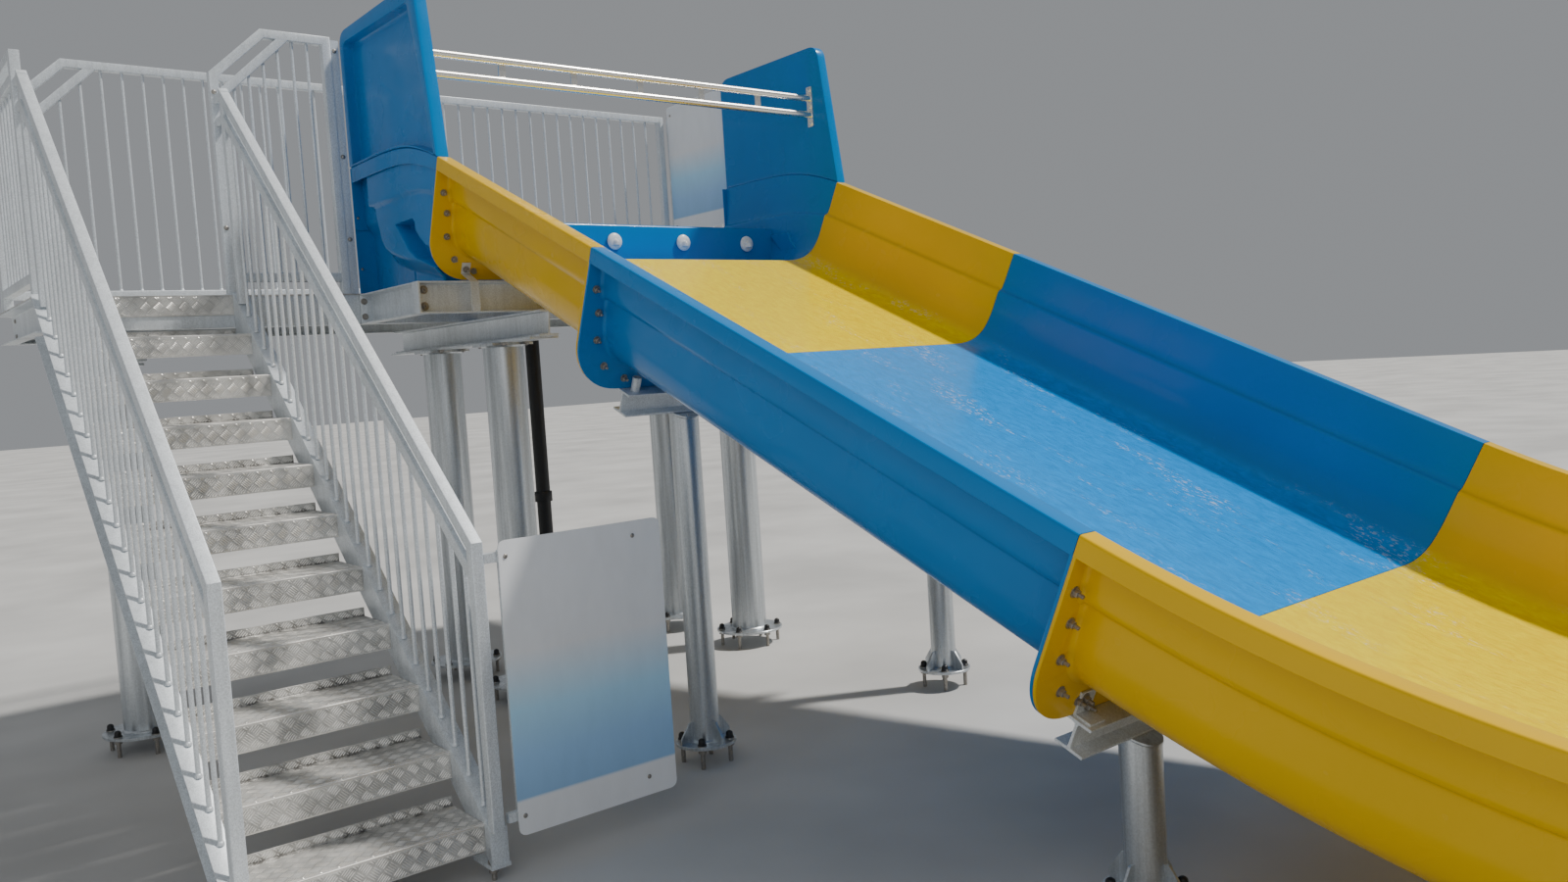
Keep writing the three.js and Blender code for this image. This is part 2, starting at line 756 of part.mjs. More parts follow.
// The raised panel on each cheek: a brow under the rim, and a lower panel that a hooked hollow cuts.
const CHEEK_BROW = [
  [50, 2442],
  [58, 2475],
  [56, 2600],
  [-60, 2604],
  [-270, 2602],
  [-470, 2588],
  [-640, 2548],
  [-716, 2510],
  [-682, 2412],
  [-558, 2437],
  [-426, 2446],
];
const CHEEK_PANEL = [
  [8, 2456],
  [-4, 2339],
  [-24, 2260],
  [-60, 2222],
  [-131, 2186],
  [-235, 2156],
  [-335, 2136],
  [-462, 2118],
  [-480, 2146],
  [-370, 2192],
  [-294, 2274],
  [-235, 2333],
  [-433, 2334],
  [-456, 2318],
  [-470, 2268],
  [-552, 2203],
  [-610, 2180],
  [-684, 2424],
];

// A point in the plane of the first joint: up from the floor, and along the slope.
function onFlange(up, along) {
  return [
    START_Y - Math.cos(SLOPE) * along - Math.sin(SLOPE) * up,
    START_Z - Math.sin(SLOPE) * along + Math.cos(SLOPE) * up,
  ];
}

function addTub() {
  const up = [-Math.sin(SLOPE), Math.cos(SLOPE)];
  const stations = TUB_STATIONS.map(({ floor, rim }) => {
    if (!rim) {
      return {
        y: floor[0] + Math.cos(SLOPE) * SEAM,
        z: floor[1] + Math.sin(SLOPE) * SEAM,
        up,
        grow: 1,
      };
    }
    const rise = [rim[0] - floor[0], rim[1] - floor[1]];
    const length = Math.hypot(...rise);
    return { y: floor[0], z: floor[1], up: [rise[0] / length, rise[1] / length], grow: length / RIM_H };
  }).reverse();
  const rims = tubRims();
  const seatRims = rims.slice(TUB_STATIONS.length - 1);
  const pieces = [
    sweep(troughRing(), stations),
    flangeAt(0, -0.15 - PLATE_THICK, -0.15),
    box(SLIDE_X - 1140, SLIDE_X + 1140, LEDGE_FRONT - SKIN, TUB_BACK - 2, LEDGE_TOP - SKIN, LEDGE_TOP),
    box(SLIDE_X - 1140, SLIDE_X + 1140, LEDGE_FRONT - SKIN, LEDGE_FRONT, 2040, LEDGE_TOP - 1),
    box(SLIDE_X - 1188, SLIDE_X + 1188, TUB_BACK - SKIN, TUB_BACK, DECK_Z + GAP, LEDGE_TOP),
  ];
  for (const side of [-1, 1]) {
    const span = (a, b) => (side < 0 ? [SLIDE_X - b, SLIDE_X - a] : [SLIDE_X + a, SLIDE_X + b]);
    const wall = [
      [-600, DECK_Z - PLATE + GAP],
      [-GAP, DECK_Z - PLATE + GAP],
      [-GAP, DECK_Z + GAP],
      [TUB_BACK, DECK_Z + GAP],
      ...rims.slice(1).map(([y, z]) => [y, z - 4]).reverse(),
      onFlange(RIM_H - 10, -5),
      onFlange(-25, -5),
    ];
    const band = (down) => [
      ...seatRims,
      ...seatRims.map(([y, z]) => [y, z - down]).reverse(),
    ];
    pieces.push(alongX(wall, ...span(1136.5, 1149)));
    pieces.push(alongX(CHEEK_PANEL, ...span(1148, 1164)));
    pieces.push(alongX(CHEEK_BROW, ...span(1148, 1173)));
    pieces.push(alongX(band(SKIN), ...span(1136, RIM_OUT)));
    pieces.push(alongX(band(72), ...span(RIM_OUT - SKIN, RIM_OUT)));
    pieces.push(box(...span(1136, 1188), TUB_BACK - SKIN, TUB_BACK, LEDGE_TOP - 2, 2661));
    pieces.push(box(...span(1088, 1144), LEDGE_FRONT - SKIN, LEDGE_FRONT, 2030, LEDGE_TOP - 1));
  }
  const holes = NOZZLES.map((x) => cylinder([x, LEDGE_FRONT - 40, NOZZLE_Z], [x, LEDGE_FRONT + 40, NOZZLE_Z], 14.3, 16));
  addPart("start_tub", fuse(pieces, holes), blue);
}

const NOZZLE_Z = 2270;
const NOZZLES = [-2, -1, 0, 1, 2].map((k) => SLIDE_X + k * 440);
const RISER_X = 1405;
const RISER_Y = -95;
const RISER_R = 50;

function addWater() {
  const pieces = [cylinder([NOZZLES[0] - 40, -190, NOZZLE_Z], [NOZZLES[4] + 40, -190, NOZZLE_Z], 30, 16)];
  const face = LEDGE_FRONT - SKIN - GAP;
  for (const x of NOZZLES) {
    pieces.push(cylinder([x, -190, NOZZLE_Z], [x, face - 4, NOZZLE_Z], 14, 16));
    pieces.push(cylinder([x, face - 14, NOZZLE_Z], [x, face, NOZZLE_Z], 46, 24));
    const scoop = [
      [face - 10, NOZZLE_Z + 6],
      [face - 34, NOZZLE_Z - 18],
      [face - 34, NOZZLE_Z - 26],
      [face - 6, NOZZLE_Z - 26],
    ];
    pieces.push(alongX(scoop, x - 17, x + 17));
  }
  addPart("water_nozzles", fuse(pieces), white);
  const riser = [
    cylinder([RISER_X, RISER_Y, 0], [RISER_X, RISER_Y, NOZZLE_Z - 40], RISER_R, 24),
    ball(RISER_X, RISER_Y, NOZZLE_Z - 40, RISER_R),
    cylinder([RISER_X, RISER_Y, NOZZLE_Z], [RISER_X, -160 + GAP, NOZZLE_Z], 20, 20),
  ];
  addPart("water_riser", fuse(riser), black);
}

function rounded(points, radii) {
  const out = [];
  points.forEach((point, i) => {
    const radius = radii[i];
    if (!radius) {
      out.push(point);
      return;
    }
    const before = points[(i + points.length - 1) % points.length];
    const after = points[(i + 1) % points.length];
    const unit = (q) => {
      const length = Math.hypot(q[0] - point[0], q[1] - point[1]);
      return [(q[0] - point[0]) / length, (q[1] - point[1]) / length];
    };
    const a = unit(before);
    const b = unit(after);
    const half = Math.acos(a[0] * b[0] + a[1] * b[1]) / 2;
    const reach = radius / Math.tan(half);
    const start = [point[0] + a[0] * reach, point[1] + a[1] * reach];
    const end = [point[0] + b[0] * reach, point[1] + b[1] * reach];
    for (let k = 0; k <= 6; k++) {
      const t = k / 6;
      const u = (1 - t) * (1 - t);
      const v = 2 * t * (1 - t);
      const w = t * t;
      out.push([u * start[0] + v * point[0] + w * end[0], u * start[1] + v * point[1] + w * end[1]]);
    }
  });
  return out;
}

function insetOutline(points, distance) {
  const count = points.length;
  return points.map((point, i) => {
    const before = points[(i + count - 1) % count];
    const after = points[(i + 1) % count];
    const n1 = [-(point[1] - before[1]), point[0] - before[0]];
    const n2 = [-(after[1] - point[1]), after[0] - point[0]];
    const l1 = Math.hypot(...n1);
    const l2 = Math.hypot(...n2);
    const sum = [n1[0] / l1 + n2[0] / l2, n1[1] / l1 + n2[1] / l2];
    const size = Math.hypot(...sum);
    const cosine = (sum[0] * n1[0]) / (size * l1) + (sum[1] * n1[1]) / (size * l1);
    return [point[0] + (sum[0] / size) * (distance / cosine), point[1] + (sum[1] / size) * (distance / cosine)];
  });
}

function addWings() {
  const rims = tubRims().map(([y, z]) => [y, z + GAP]);
  const corners = [
    [TUB_BACK, WING_TOP - 6],
    [-700, WING_TOP],
  ];
  // Counter-clockwise in [y, z]: along the rim from front to back, then up and forward.
  const outline = rounded([...rims, ...corners], [...rims.map(() => 0), 95, 75]);
  const inside = insetOutline(outline, 10);
  for (const [name, side] of [["left", -1], ["right", 1]]) {
    const span = (a, b) => (side < 0 ? [SLIDE_X - b, SLIDE_X - a] : [SLIDE_X + a, SLIDE_X + b]);
    const skin = alongX(outline, ...span(1130, 1138));
    const rim = alongX(outline, ...span(1136, 1190), inside);
    addPart("wing_" + name, fuse([skin, rim]), blue);
  }
}

function addGrabRail() {
  const y = -620;
  const x0 = SLIDE_X - 1130 + GAP;
  const x1 = SLIDE_X + 1130 - GAP;
  const pieces = [];
  for (const z of [3040, 2950]) {
    pieces.push(cylinder([x0 + 2, y, z], [x1 - 2, y, z], 19, 20));
  }
  for (const x of [x0, x1 - 6]) {
    pieces.push(box(x, x + 6, y - 22, y + 22, 2885, 3105));
  }
  for (let k = 1; k <= 5; k++) {
    const x = x0 + ((x1 - x0) * k) / 6;
    pieces.push(box(x - 18, x + 18, y - 4, y + 4, 2945, 3045));
  }
  addPart("grab_rail", fuse(pieces), stainless);
}

function addSlideSupports() {
  const x0 = SLIDE_X - 980;
  const x1 = SLIDE_X + 980;
  const beamOutline = (y, low, height, width) => [
    [y - width / 2, low],
    [y + width / 2, low],
    [y + width / 2, low + 8],
    [y + 4, low + 8],
    [y + 4, low + height - 8],
    [y + width / 2, low + height - 8],
    [y + width / 2, low + height],
    [y - width / 2, low + height],
    [y - width / 2, low + height - 8],
    [y - 4, low + height - 8],
    [y - 4, low + 8],
    [y - width / 2, low + 8],
  ];
  const clip = (s, y, top) => {
    const here = line(s);
    const at = (up, along) => [
      here.y + here.way[0] * along + here.up[0] * up,
      here.z + here.way[1] * along + here.up[1] * up,
    ];
    const face = 0.15 + PLATE_THICK + GAP;
    return [
      [y - 40, top - 2],
      [y - 34, top - 2],
      at(-FLANGE_BELOW - 2, face),
      at(-40, face),
      at(-40, face + 6),
      at(-FLANGE_BELOW + 4, face + 6),
    ];
  };
  const joints = [LENGTH_1, LENGTH_1 + LENGTH_2];
  joints.forEach((s, i) => {
    const here = line(s);
    const lowest = [
      here.y - here.up[0] * FLANGE_BELOW,
      here.z - here.up[1] * FLANGE_BELOW - here.way[1] * 0,
    ];
    const y = lowest[0] - 20;
    const under = Math.sin(SLOPE) * (PLATE_THICK + 0.15);
    const top = lowest[1] - under - GAP;
    const pieces = [alongX(beamOutline(y, top - 100, 100, 100), x0, x1)];
    for (const x of [SLIDE_X - 940, SLIDE_X + 940]) {
      pieces.push(alongX(clip(s, y, top), x - 20, x + 20));
    }
    addPart("slide_beam_" + (i + 1), fuse(pieces), steel);
    for (const [side, x] of [["left", SLIDE_X - SUPPORT_HALF], ["right", SLIDE_X + SUPPORT_HALF]]) {
      const leg = column(x, y, top - 100 - GAP, LEG_R, 122, 4, 4);
      addPart("slide_leg_" + (i + 1) + "_" + side, leg, steel);
    }
  });
  const ends = [
    ["middle", LENGTH_1 + LENGTH_2 + LENGTH_3, 0],
    ["end", LENGTH_1 + LENGTH_2 + LENGTH_3 + LENGTH_4, 45],
  ];
  for (const [name, s, back] of ends) {
    const here = line(s);
    const y = here.y + back;
    const top = here.z - FLANGE_BELOW - GAP;
    const pieces = [alongX(beamOutline(y, BASE_TOP - 1, top - BASE_TOP + 1, 90), x0, x1)];
    for (const x of [SLIDE_X - SUPPORT_HALF, SLIDE_X + SUPPORT_HALF]) {
      pieces.push(box(x - 110, x + 110, y - 92, y + 92, BASE_UNDER, BASE_TOP));
      for (const [a, b] of [[-85, -67], [85, -67], [-85, 67], [85, 67]]) {
        pieces.push(cylinder([x + a, y + b, 0], [x + a, y + b, BASE_TOP + 6], 9, 8));
        pieces.push(cylinder([x + a, y + b, BASE_TOP - 1], [x + a, y + b, BASE_TOP + 30], 15, 10));
      }
    }
    addPart("runout_support_" + name, fuse(pieces), steel);
  }
}

function addSigns() {
  const roundedBoard = (a0, a1, b0, b1, r) =>
    rounded([[a0, b0], [a1, b0], [a1, b1], [a0, b1]], [r, r, r, r]);
  const y = STRINGER_FRONT - 25;
  const board = alongY(roundedBoard(88, 690, 130, 1075, 28), y - 6, y);
  const arms = [
    box(42 + GAP, 600, y - 1, y + 29, 1010, 1040),
    box(STRINGER_FLANGE + GAP, 600, y + 8, y + 29, 178, 208),
    box(560, 600, y - 1, y + 29, 170, 1045),
    box(96, 126, y - 1, y + 29, 170, 1045),
  ];
  addPart("rules_board", fuse([board, ...arms]), boardWhite);
  const outline = roundedBoard(216, 874, 2470, 3298, 25);
  addPart("safety_board", alongX(outline, 3035, 3041.7), boardWhite);
}

addStair();
addPlatform();
addTubFrame();
addTower();
addTub();
addWater();
addWings();
addGrabRail();
addSlide();
addSlideSupports();
addSigns();

// The origin is the middle of the outline's plan, at ground level.
const bounds = new THREE.Box3().setFromObject(frame);
frame.position.set(-(bounds.min.x + bounds.max.x) / 2, -(bounds.min.y + bounds.max.y) / 2, 0);

export default root;
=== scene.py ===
"""Water slide tower: shells, steelwork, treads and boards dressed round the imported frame.

Lengths are in metres. The plan's own axes run X across from the stair to the channel, Y from the
run-out to the platform and Z up from the ground; plan zero is the deck's front edge at the right
stringer's inner face, and ORIGIN moves plan points into the row's frame.
"""

import math

import bpy
import numpy as np
from bpy.props import FloatProperty, FloatVectorProperty, IntProperty, PointerProperty
from bpy.types import Operator, PropertyGroup
from mathutils import Matrix, Vector


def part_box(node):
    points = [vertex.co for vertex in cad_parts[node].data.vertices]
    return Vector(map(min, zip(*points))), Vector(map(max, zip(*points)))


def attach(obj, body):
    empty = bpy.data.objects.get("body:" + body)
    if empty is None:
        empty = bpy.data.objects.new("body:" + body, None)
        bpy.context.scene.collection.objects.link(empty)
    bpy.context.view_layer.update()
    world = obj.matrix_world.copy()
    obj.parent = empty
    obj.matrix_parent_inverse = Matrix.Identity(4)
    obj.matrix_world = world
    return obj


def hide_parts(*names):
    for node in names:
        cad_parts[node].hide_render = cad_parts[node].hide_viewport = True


bl_info = {
    "name": "Water slide tower",
    "version": (1, 0, 0),
    "blender": (4, 5, 0),
    "location": "3D View > Sidebar > Slide tower",
    "description": "Builds a wide water slide with its stair, platform and supports",
    "category": "Object",
}

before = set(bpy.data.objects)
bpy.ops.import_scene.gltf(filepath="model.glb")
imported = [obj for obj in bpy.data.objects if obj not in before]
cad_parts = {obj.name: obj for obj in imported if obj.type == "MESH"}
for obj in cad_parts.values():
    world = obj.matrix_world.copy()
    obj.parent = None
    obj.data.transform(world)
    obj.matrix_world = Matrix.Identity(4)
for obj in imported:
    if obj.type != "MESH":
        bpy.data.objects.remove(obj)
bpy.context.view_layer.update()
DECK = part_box("platform_deck")
DECK_LEFT = -0.775
ORIGIN = np.array([DECK[0][0] - DECK_LEFT, DECK[0][1], 0.0])
X_AXIS = np.array([1.0, 0.0, 0.0])
Y_AXIS = np.array([0.0, 1.0, 0.0])
Z_AXIS = np.array([0.0, 0.0, 1.0])
# Turns +Z to the front and +Y up.
TO_FRONT = np.column_stack([X_AXIS, Z_AXIS, -Y_AXIS])
# The gap between neighbouring parts, the dirt's colour, and the channel's two sides with their signs.
CLEAR = 0.0003
GRIME = (0.05, 0.045, 0.038)
SIDES = (("left", -1), ("right", 1))


def length(name, description, default, low=0.0):
    """A length in metres, shown in the scene's own unit."""
    return FloatProperty(
        name=name, description=description, default=default, min=low, unit="LENGTH", subtype="DISTANCE"
    )


def tint(name, description, default):
    """A colour, as linear red, green and blue."""
    return FloatVectorProperty(
        name=name, description=description, default=default, size=3, min=0.0, max=1.0, subtype="COLOR"
    )


def tilt(name, description, degrees):
    """An angle, given in degrees and kept in radians."""
    return FloatProperty(name=name, description=description, default=math.radians(degrees), subtype="ANGLE")


class StairSizes(PropertyGroup):
    rise: length("Rise", "Height of one step", 0.185)
    going: length("Going", "Depth of one step", 0.220)
    risers: IntProperty(name="Risers", description="Steps from the ground to the deck", default=11, min=3)
    width: length("Clear width", "Distance between the stringers", 0.715)
    tread: length("Tread depth", "Depth of a tread plate", 0.240)
    fold: length("Front fold", "Height of a tread's folded front", 0.090)
    lip: length("Back lip", "Height of the upstand at a tread's back", 0.032)
    plate: length("Plate", "Thickness of the chequer plate", 0.005)
    foot: length("Foot", "Distance of the stringer's lower end from the deck's edge", 2.235)
    rail: length("Handrail height", "Handrail above the line of nosings", 0.945)
    second: length("Second rail", "Distance from the handrail down to the second rail", 0.093)
    bar: length("Bar diameter", "Diameter of the upright bars", 0.015)
    pitch: length("Bar pitch", "Distance between the upright bars", 0.092)


class PlatformSizes(PropertyGroup):
    right: length("Right edge", "Distance of the deck's right edge from the stringer", 3.110)
    depth: length("Depth", "Depth of the deck", 0.990)
    high: length("High fence", "Height of the back, front and right fences", 1.205)
    low: length("Low fence", "Height of the left fence", 1.000)
    tube: length("Tube", "Side of the square tube", 0.040)
    beam: length("Beam", "Height of the channel beams", 0.140)
    flange: length("Flange", "Width of a channel's flange", 0.060)


class SlideSizes(PropertyGroup):
    middle: length("Middle", "Distance of the channel's middle from the stringer", 1.840)
    slope: tilt("Slope", "Slope of the straight sections", 23.5)
    start_y: length("Start", "First joint's floor, along the plan", -0.628, -10.0)
    start_z: length("Start height", "First joint's floor above the ground", 2.140)
    sections: FloatVectorProperty(
        name="Sections", description="Lengths of the four sections", default=(1.315, 2.218, 2.050, 1.917),
        size=4, unit="LENGTH",
    )
    skin: length("Skin", "Thickness of the shells", 0.008)
    rim: length("Rim height", "Rim above the floor", 0.446)
    half: length("Half width", "Rim's outer edge from the middle", 1.186)
    lip: length("Lip", "Depth of the rim's turned-down lip", 0.058)
    flange: length("Flange plate", "Thickness of the end flanges", 0.010)
    below: length("Flange below", "End flange below the floor", 0.103)
    corner: length("Flange corner", "Radius of the flange's lower corners", 0.190)
    fillet: length("Fillet", "Radius where a flange meets the skin", 0.018)


class StartSizes(PropertyGroup):
    ledge: length("Ledge top", "Top of the rear ledge above the ground", 2.362)
    front: length("Ledge front", "Front of the rear ledge, along the plan", -0.266, -1.0)
    back: length("Tub back", "Back of the tub, along the plan", 0.200, -1.0)
    wing: length("Wing top", "Top of the wings above the ground", 3.321)
    inner: length("Wing face", "Wing's inner face from the middle", 1.130)
    rail_y: length("Grab rail", "Grab rail, along the plan", -0.620, -1.0)
    rail: length("Grab rail height", "Upper grab rail above the ground", 3.040)
    nozzle: length("Nozzle height", "Inlet nozzles above the ground", 2.270)
    nozzle_pitch: length("Nozzle pitch", "Distance between inlet nozzles", 0.440)


class SupportSizes(PropertyGroup):
    tower: length("Column radius", "Radius of the columns under the deck", 0.097)
    leg: length("Leg radius", "Radius of the columns under the channel", 0.058)
    base: length("Base radius", "Radius of a column's base plate", 0.185)
    small_base: length("Small base radius", "Radius of a leg's base plate", 0.122)
    under: length("Base height", "Underside of the base plates above the ground", 0.080)
    half: length("Half spacing", "Columns from the channel's middle", 0.700)
    frame_front: length("Frame front", "Front of the tub's frame, along the plan", -0.693, -2.0)
    frame_left: length("Frame left", "Left side of the tub's frame", 0.570)


class Finishes(PropertyGroup):
    yellow: tint("Yellow shell", "Gelcoat of the first and third sections", (0.78, 0.48, 0.0))
    blue: tint("Blue shell", "Gelcoat of the tub, the wings and the other sections", (0.0, 0.195, 0.53))
    steel: tint("Galvanised steel", "Zinc coat of the steelwork", (0.75, 0.80, 0.84))
    plate: tint("Chequer plate", "Treads and deck", (0.72, 0.71, 0.68))
    # Bright metal is also the painted highlight along the treads' folded edges.
    bright: tint("Bright metal", "Stainless tube and worn edges", (0.88, 0.86, 0.81))
    bolt: tint("Fasteners", "Bolts and nuts", (0.36, 0.34, 0.31))
    board: tint("Board", "Pale face of the boards", (0.88, 0.90, 0.92))
    band: tint("Board band", "Blue wash across the boards", (0.28, 0.47, 0.70))
    white: tint("White plastic", "Inlet nozzles", (0.86, 0.87, 0.86))
    black: tint("Black plastic", "Caps over the nuts and the supply pipe", (0.012, 0.013, 0.015))


class StageSetup(PropertyGroup):
    floor: tint("Floor", "Studio floor", (0.56, 0.56, 0.55))
    sky: tint("Surround", "Studio surround", (0.82, 0.85, 0.89))
    sky_strength: FloatProperty(
        name="Surround strength", description="Light from all sides", default=0.34, min=0.0
    )
    sun_strength: FloatProperty(
        name="Key strength", description="Light of the large key lamp", default=4.0, min=0.0
    )
    fill_power: FloatProperty(name="Fill power", description="Watts of the fill lamp", default=170.0, min=0.0)
    lens: FloatProperty(
        name="Lens", description="Focal length on a 36 mm sensor", default=27.575, min=1.0,
        subtype="DISTANCE_CAMERA",
    )
    camera: FloatVectorProperty(
        name="Camera", description="Camera's place in the plan", default=(-1.574, -5.718, 1.566), size=3,
        unit="LENGTH",
    )
    yaw: tilt("Yaw", "Camera's turn to the right of +Y", 39.481)
    pitch: tilt("Pitch", "Camera's tilt down", 3.606)
    roll: tilt("Roll", "Camera's roll", -3.635)


# Shapes. A part is (points, [face arrays]); points are rows of plan coordinates.


def unit(rows):
    """Each row divided by its length."""
    return rows / np.linalg.norm(rows, axis=-1, keepdims=True)


def eased(corners, steps, closed=True):
    """Corners are rows of x, y, reach. Each is cut back by its reach along both edges and the two
    ends are joined by a parabola, (1-t)^2 start + 2t(1-t) corner + t^2 end. An open line keeps its ends."""
    corners = np.asarray(corners, float)
    place, reach = corners[:, :2], corners[:, 2:3]
    start = place + unit(np.roll(place, 1, 0) - place) * reach
    end = place + unit(np.roll(place, -1, 0) - place) * reach
    t = np.linspace(0, 1, steps + 1)[None, :, None]
    arc = (1 - t) ** 2 * start[:, None] + 2 * t * (1 - t) * place[:, None] + t**2 * end[:, None]
    if closed:
        return arc.reshape(-1, 2)
    return np.vstack([place[:1], arc[1:-1].reshape(-1, 2), place[-1:]])


def softened(points, steps):
    """An open line whose every inner corner is eased by the same share of its shorter edge."""
    points, share = np.asarray(points, float), 0.48
    edges = np.linalg.norm(np.diff(points, axis=0), axis=1)
    reach = np.concatenate([[0.0], np.minimum(edges[:-1], edges[1:]) * share, [0.0]])
    return eased(np.column_stack([points, reach]), steps, closed=False)


def offset(line, distance):
    """An open line moved to its right by a distance, each point along the mean of its edges' normals."""
    step = unit(np.diff(line, axis=0))
    normal = np.stack([step[:, 1], -step[:, 0]], 1)
    before, after = np.vstack([normal[:1], normal]), np.vstack([normal, normal[-1:]])
    mean = unit(before + after)
    return line + mean * (distance / np.sum(mean * before, axis=1))[:, None]


def inset(ring, distance):
    """A closed anticlockwise ring moved inwards by a distance, along the mean of its edges' normals."""
    step = unit(np.roll(ring, -1, 0) - ring)
    normal = np.stack([-step[:, 1], step[:, 0]], 1)
    mean = unit(normal + np.roll(normal, 1, 0))
    return ring + mean * (distance / np.sum(mean * normal, axis=1))[:, None]


def rounded(points, reach, steps):
    """A closed outline through the points with every corner cut back by the same reach."""
    points = np.asarray(points, float)
    return eased(np.column_stack([points, np.full(len(points), reach)]), steps)


def window(low, high, reach, steps):
    """A rectangle between two corners with rounded corners, anticlockwise."""
    return rounded([low, (high[0], low[1]), high, (low[0], high[1])], reach, steps)


def slender(width, height, radius, steps):
    """A rectangle about zero with rounded corners, anticlockwise."""
    a, b = width / 2, height / 2
    return eased([(-a, -b, radius), (a, -b, radius), (a, b, radius), (-a, b, radius)], steps)


def circle(radius, sides):
    """A circle about zero, anticlockwise: radius times cosine and sine."""
    angle = np.arange(sides) * 2 * np.pi / sides
    return radius * np.stack([np.cos(angle), np.sin(angle)], 1)


def channel(height, width, web, toe, side):
    """A rolled channel: web at x = 0, flanges to width, toes and inner corners rounded. side -1 opens
    it to -x."""
    a, b, h = width, web, height / 2
    corners = np.array([
        (0, -h, 0.001), (a, -h, 0.001), (a, -h + toe * 0.7, 0.003), (b, -h + toe, 0.008),
        (b, h - toe, 0.008), (a, h - toe * 0.7, 0.003), (a, h, 0.001), (0, h, 0.001),
    ])
    ring = eased(corners, 2)
    return ring if side > 0 else (ring * (-1, 1))[::-1]


def i_section(height, width, web, toe):
    """A rolled I: two flanges about a middle web, inner corners and toes rounded."""
    h, w, b = height / 2, width / 2, web / 2
    corners = [
        (-w, -h, 0.001), (w, -h, 0.001), (w, -h + toe, 0.002), (b, -h + toe, 0.008),
        (b, h - toe, 0.008), (w, h - toe, 0.002), (w, h, 0.001), (-w, h, 0.001),
        (-w, h - toe, 0.002), (-b, h - toe, 0.008), (-b, -h + toe, 0.008), (-w, -h + toe, 0.002),
    ]
    return eased(corners, 2)


def bands(rows, columns, wrap=True):
    """Quads between successive rows of a grid; wrap joins the last column to the first."""
    last = columns if wrap else columns - 1
    i = np.arange(rows - 1)[:, None] * columns + np.arange(last)[None]
    j = np.arange(rows - 1)[:, None] * columns + (np.arange(last)[None] + 1) % columns
    return np.stack([i, j, j + columns, i + columns], -1).reshape(-1, 4)


def shell(grid):
    """A grid of closed rows of points as one part, its end rows closed by flat faces."""
    rows, columns = grid.shape[:2]
    ends = [np.arange(columns)[::-1][None], ((rows - 1) * columns + np.arange(columns))[None]]
    return grid.reshape(-1, 3), [bands(rows, columns)] + ends


def carry(outline, path, side, start=None, end=None):
    """A closed outline carried along a path. Its first coordinate lies along side and its second along
    tangent x side. At each corner it is slid along the path onto the plane that halves the corner, and
    at the ends onto planes with the normals start and end, or square to the path."""
    path, side = np.asarray(path, float), unit(np.asarray(side, float))
    step = unit(np.diff(path, axis=0))
    along = np.vstack([step[:1], step])
    halving = unit(np.vstack([step[:1], step]) + np.vstack([step, step[-1:]]))
    if start is not None:
        halving[0] = start
    if end is not None:
        halving[-1] = end
    up = np.cross(along, side)
    spread = outline[None, :, :1] * side + outline[None, :, 1:] * up[:, None]
    slip = np.sum(spread * halving[:, None], -1) / np.sum(along * halving, -1)[:, None]
    return shell(path[:, None] + spread - slip[..., None] * along[:, None])


def placed(part, turn, place=(0, 0, 0)):
    """A part turned by a matrix whose columns are its new axes, then moved."""
    points, faces = part
    return points @ np.asarray(turn, float).T + np.asarray(place, float), faces


def alike(grid, faces):
    """Copies as one part: grid holds each copy's points, and faces are those of one copy."""
    shift = np.arange(len(grid))[:, None, None] * (grid[0].size // 3)
    return grid.reshape(-1, 3), [(face[None] + shift).reshape(-1, face.shape[1]) for face in faces]


def repeated(part, places, turns=None):
    """Copies of a part at each place, each turned by its own matrix where turns are given."""
    points, faces = part
    copies = points[None] if turns is None else np.einsum("nij,pj->npi", turns, points)
    return alike(copies + np.asarray(places, float)[:, None], faces)


def facing(axis):
    """A right-handed matrix whose third column is the axis."""
    axis = unit(np.asarray(axis, float))
    first = unit(np.cross(axis, Y_AXIS if abs(axis[1]) < 0.9 else X_AXIS))
    return np.column_stack([first, np.cross(axis, first), axis])


def turned(profile, sides, flats=0):
    """A profile of radius, height rows turned about +Z, closed by flat ends. With flats, the radius is
    divided by the cosine of the angle from the nearest flat's middle, which makes a prism."""
    profile = np.asarray(profile, float)
    angle = np.arange(sides) * 2 * np.pi / sides
    grow = np.ones(sides)
    if flats:
        step = 2 * np.pi / flats
        grow = 1 / np.cos((angle + step / 2) % step - step / 2)
    ring = profile[:, :1] * grow
    rise = np.broadcast_to(profile[:, 1:], ring.shape)
    return shell(np.stack([ring * np.cos(angle), ring * np.sin(angle), rise], -1))


def block(low, high, soft=0.0015):
    """A box between two corners whose edges along Z are eased."""
    low, high = np.minimum(low, high).astype(float), np.maximum(low, high).astype(float)
    middle, size = (low + high) / 2, high - low
    outline = slender(size[0], size[1], min(soft, size[0] / 3, size[1] / 3), 2) + middle[:2]
    grid = np.stack([np.column_stack([outline, np.full(len(outline), z)]) for z in (low[2], high[2])])
    return shell(grid)


def rod(start, end, radius, sides=16):
    """A round bar between two points."""
    start, end = np.asarray(start, float), np.asarray(end, float)
    long = np.linalg.norm(end - start)
    return placed(turned([(radius, 0), (radius, long)], sides), facing(end - start), start)


def bolt_head(across=0.019, washer=0.0155, shoulder=0.0105, top=0.0122):
    """A washer and a hexagon head, chamfered between shoulder and top, along +Z from zero."""
    half, thick = across / 2, 0.0028
    head = turned([(half, thick), (half, shoulder), (half * 0.86, top)], 12, 6)
    return joined([turned([(washer, 0), (washer, thick)], 12), head])


